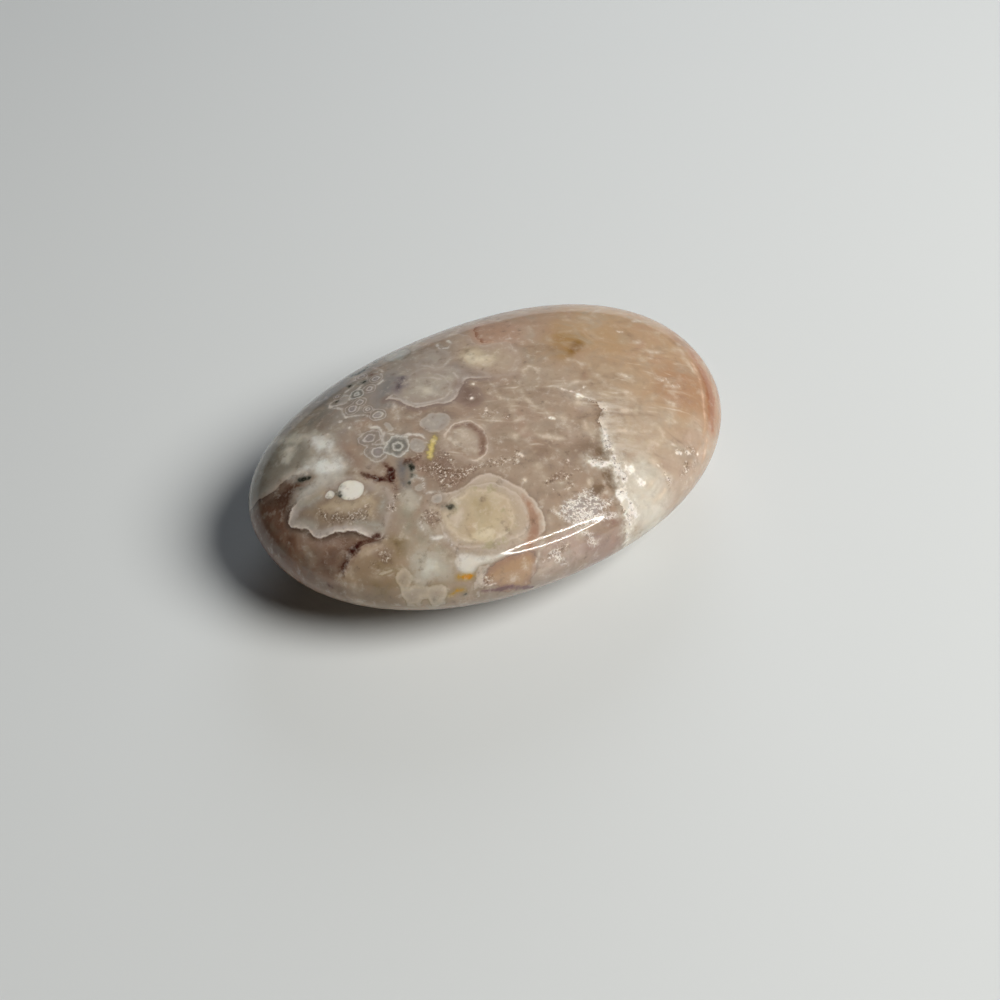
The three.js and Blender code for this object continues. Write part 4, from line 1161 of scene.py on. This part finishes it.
def specks(put, ground, spot, field):
    """Druzy specks: dark and bright grains about 0.3 mm across, in belts; the brightest are painted glints.
    """
    grains = put("ShaderNodeTexNoise", {"Vector": spot, "Scale": 2.8, "Detail": 2.0, "Roughness": 0.75})
    return lay(put, ground, grains, [
        (0.28, "#4f3b2f", 1.0), (0.38, "#6f5a4a", 0.75), (0.46, "#8f7967", 0.35), (0.54, "#9d8979", 0.25),
        (0.6, "#d9ccbe", 0.8), (0.7, "#fbf5ec", 1.0),
    ], within(put, field, 0.45))


def needles(put, ground, spot, field):
    """A burst of quartz needles: a net of thin white lines where a noise passes its middle."""
    net = put("ShaderNodeTexNoise", {
        "Vector": streaked(put, spot, 1.4), "Scale": 1.3, "Detail": 3.0, "Roughness": 0.75,
    })
    net = put("ShaderNodeMath", {0: net, 1: 0.5}, operation="SUBTRACT")
    net = put("ShaderNodeMath", {0: net}, operation="ABSOLUTE")
    return lay(put, ground, net, [
        (0.0, "#f8f4ee", 1.0), (0.016, "#efe8df", 0.9), (0.05, "#cbc1b8", 0.5), (0.12, "#a99e97", 0.1),
    ], within(put, field, 0.3))


# Growths that are a texture of their own.
TEXTURES = {"folds_painted_lit_and_shaded": folds_painted_lit_and_shaded, "speck_belts_painted_glints": specks, "needle_burst": needles}


def flower_agate():
    """Flower agate: translucent chalcedony, with plumes and blossoms of paler chalcedony in it. Ground and
    polished, so it is as glossy as wet glass, and light runs a little way into it."""
    material = bpy.data.materials.new("polished_flower_agate")
    material.use_nodes = True
    tree = material.node_tree
    tree.nodes.clear()
    put = functools.partial(add, tree)
    place = put("ShaderNodeTexCoord", {}, "Object")
    spot = put("ShaderNodeVectorMath", {0: place, "Scale": 1 / MM}, operation="SCALE")

    # Edges of growths are uneven: round lobes about 1.5 mm across, small ones of 0.6 mm, and a crinkle.
    crinkle = put("ShaderNodeTexNoise", {"Vector": spot, "Scale": 0.9, "Detail": 5.0, "Roughness": 0.66})
    crinkle = put("ShaderNodeMath", {0: crinkle, 1: 0.5}, operation="SUBTRACT")
    lobes = put("ShaderNodeTexVoronoi", {"Vector": spot, "Scale": 0.65}, "Distance")
    beads = put("ShaderNodeTexVoronoi", {"Vector": spot, "Scale": 1.7}, "Distance")
    edge = put("ShaderNodeMath", {0: lobes, 1: 1.0, 2: -0.65}, operation="MULTIPLY_ADD")
    edge = put("ShaderNodeMath", {0: beads, 1: 0.4, 2: edge}, operation="MULTIPLY_ADD")
    edge = put("ShaderNodeMath", {0: crinkle, 1: 1.8, 2: edge}, operation="MULTIPLY_ADD")

    colour = put("ShaderNodeAttribute", {}, "Color", attribute_name="body")
    colour = clear_body(put, colour, spot)
    colour = quartz(put, colour, spot, edge)

    for name, growth in GROWTHS.items():
        field = drawn(put, name, edge, growth.rough)
        if name in TEXTURES:
            colour = TEXTURES[name](put, colour, spot, field)
        else:
            colour = lay(put, colour, field, growth.stops)
        if growth.rim_line:
            along_line = put("ShaderNodeAttribute", {}, "Fac", attribute_name=name + "_rim")
            colour = lay(put, colour, field, growth.rim_stops, along_line)
    for name, stops in [("pale_eyes", PALE_EYE_STOPS), ("moss_eyes", MOSS_EYE_STOPS)]:
        colour = lay(put, colour, drawn(put, name, edge, 0.34), stops)
    veil = put("ShaderNodeTexNoise", {"Vector": spot, "Scale": 0.7, "Detail": 5.0, "Roughness": 0.68})
    past_edge = put("ShaderNodeAttribute", {}, "Fac", attribute_name="quartz")
    calm = put("ShaderNodeMapRange", {
        "Value": past_edge, "From Min": -3.0, "From Max": 5.0, "To Min": 1.0, "To Max": 0.45,
    })
    colour = lay(put, colour, veil, [
        (0.3, "#6a594d", 0.5), (0.47, "#a89684", 0.0), (0.53, "#d8cab8", 0.0), (0.72, "#efe7da", 0.4),
    ], calm)

    shader = put("ShaderNodeBsdfPrincipled", {
        "Base Color": colour,
        "Roughness": 0.07,
        "IOR": 1.54,
        "Subsurface Weight": 0.8,
        "Subsurface Radius": (1.0, 0.75, 0.55),
        "Subsurface Scale": 0.003,
    })
    put("ShaderNodeOutputMaterial", {"Surface": shader}, None)
    return material


# --- the studio ---

VIEW_PITCH = math.radians(50)
VIEW_TURN = math.radians(-29.68)
VIEW_DISTANCE = 163.29 * MM
VIEW_TARGET = Vector((-2.19, -4.80, 5.41)) * MM
LENS = 43.2
SENSOR = 36
NEAREST_SEEN = 0.005
FLOOR_HALF = 1.5

# The lamps look at a place about half-way up the stone.
LIT_PLACE = Vector((0, 0, 0.01))

# The loop lamp: how far off it hangs, half its width and height as seen from the stone, its tilt, the tube's
# radius, and the steps along the loop and round the tube.
LOOP_DISTANCE = 0.5
LOOP_HALF_WIDTH = math.radians(13.3)
LOOP_HALF_HEIGHT = math.radians(5.3)
LOOP_TILT = math.radians(-20)
TUBE = 0.0040
LOOP_STEPS = 96
TUBE_STEPS = 10


def aim(thing, place, target):
    """Puts a camera or lamp at a place and turns it to look at the target."""
    thing.location = place
    thing.rotation_euler = (target - place).to_track_quat("-Z", "Y").to_euler()


def direction(turn, rise):
    """The unit vector towards a compass turn from +X and a rise over the floor, both in degrees."""
    turn, rise = math.radians(turn), math.radians(rise)
    return Vector((math.cos(turn) * math.cos(rise), math.sin(turn) * math.cos(rise), math.sin(rise)))


def make_camera():
    """The camera, backed off from its target along the view's pitch and turn."""
    camera = bpy.data.cameras.new("camera")
    camera.lens = LENS
    camera.sensor_width = SENSOR
    camera.clip_start = NEAREST_SEEN
    holder = bpy.data.objects.new("camera", camera)
    bpy.context.scene.collection.objects.link(holder)
    back = Vector((
        math.sin(VIEW_TURN) * math.cos(VIEW_PITCH),
        -math.cos(VIEW_TURN) * math.cos(VIEW_PITCH),
        math.sin(VIEW_PITCH),
    ))
    aim(holder, VIEW_TARGET + back * VIEW_DISTANCE, VIEW_TARGET)
    bpy.context.scene.camera = holder


def make_floor():
    """A square of matt white board, as a pale floor."""
    corners = [(x * FLOOR_HALF, y * FLOOR_HALF, 0) for x, y in [(-1, -1), (1, -1), (1, 1), (-1, 1)]]
    mesh = bpy.data.meshes.new("floor")
    mesh.from_pydata(corners, [], [(0, 1, 2, 3)])
    floor = bpy.data.objects.new("floor", mesh)
    bpy.context.scene.collection.objects.link(floor)
    material = bpy.data.materials.new("matt_white_board")
    material.use_nodes = True
    shader = material.node_tree.nodes["Principled BSDF"]
    shader.inputs["Base Color"].default_value = linear("#d6d9d9")
    shader.inputs["Roughness"].default_value = 0.6
    mesh.materials.append(material)


def make_lamp(name, towards, distance, size, watts, colour):
    """A round soft lamp towards a direction from the stone, which lights it but isn't seen in its polish."""
    light = bpy.data.lights.new(name, "AREA")
    light.shape = "DISK"
    light.size = size
    light.energy = watts
    light.color = linear(colour)[:3]
    lamp = bpy.data.objects.new(name, light)
    bpy.context.scene.collection.objects.link(lamp)
    lamp.visible_glossy = False
    aim(lamp, towards * distance, LIT_PLACE)


def make_loop_lamp():
    """A glowing tube bent into a long loop, seen in the polish as two thin streaks that meet at their ends.
    A tube carried round an ellipse that faces the stone."""
    towards = direction(-75, 30)
    half_wide = LOOP_DISTANCE * math.tan(LOOP_HALF_WIDTH)
    half_high = LOOP_DISTANCE * math.tan(LOOP_HALF_HEIGHT)
    sideways = Vector((0, 0, 1)).cross(towards).normalized()
    upward = towards.cross(sideways)
    wide_axis = np.array(sideways * math.cos(LOOP_TILT) + upward * math.sin(LOOP_TILT))
    high_axis = np.array(upward * math.cos(LOOP_TILT) - sideways * math.sin(LOOP_TILT))
    around = np.linspace(0, 2 * math.pi, LOOP_STEPS, endpoint=False)[:, None, None]
    section = np.linspace(0, 2 * math.pi, TUBE_STEPS, endpoint=False)[None, :, None]
    outward = np.cos(around) * wide_axis + np.sin(around) * high_axis
    middle = half_wide * np.cos(around) * wide_axis + half_high * np.sin(around) * high_axis
    points = middle + TUBE * (np.cos(section) * outward + np.sin(section) * np.array(towards))
    points = points.reshape(-1, 3) + np.array(towards) * LOOP_DISTANCE
    step, side = np.meshgrid(np.arange(LOOP_STEPS), np.arange(TUBE_STEPS), indexing="ij")
    here, after = step * TUBE_STEPS, (step + 1) % LOOP_STEPS * TUBE_STEPS
    beside = (side + 1) % TUBE_STEPS
    corners = [here + side, after + side, after + beside, here + beside]
    quads = np.stack(corners, axis=-1).reshape(-1, 4)
    mesh = bpy.data.meshes.new("loop_lamp")
    mesh.from_pydata(points, [], quads.tolist())
    lamp = bpy.data.objects.new("loop_lamp", mesh)
    bpy.context.scene.collection.objects.link(lamp)
    material = bpy.data.materials.new("glowing_tube")
    material.use_nodes = True
    tree = material.node_tree
    tree.nodes.clear()
    glow = add(tree, "ShaderNodeEmission", {"Color": linear("#fffaf4"), "Strength": 45})
    add(tree, "ShaderNodeOutputMaterial", {"Surface": glow}, None)
    mesh.materials.append(material)
    lamp.visible_diffuse = False
    lamp.visible_shadow = False
    lamp.visible_transmission = False
    lamp.visible_volume_scatter = False


def make_studio():
    """Soft light on the stone in a nearly dark room, and the plain view transform."""
    scene = bpy.context.scene
    scene.view_settings.view_transform = "Standard"
    world = bpy.data.worlds.new("studio_air")
    world.use_nodes = True
    world.node_tree.nodes["Background"].inputs["Color"].default_value = linear("#efe7de")
    world.node_tree.nodes["Background"].inputs["Strength"].default_value = 0.015
    scene.world = world
    make_lamp("key", direction(-43, 47.5), distance=0.70, size=0.42, watts=6.0, colour="#fffdf9")
    make_lamp("fill", direction(55, 26), distance=0.70, size=0.40, watts=1.2, colour="#edf4ff")
    make_loop_lamp()


skin = make_skin()
stone = make_stone(skin)
draw_agate(stone.data, skin)
stone.data.materials.append(flower_agate())
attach(stone, "root")
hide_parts("palm_stone")
make_camera()
make_floor()
make_studio()
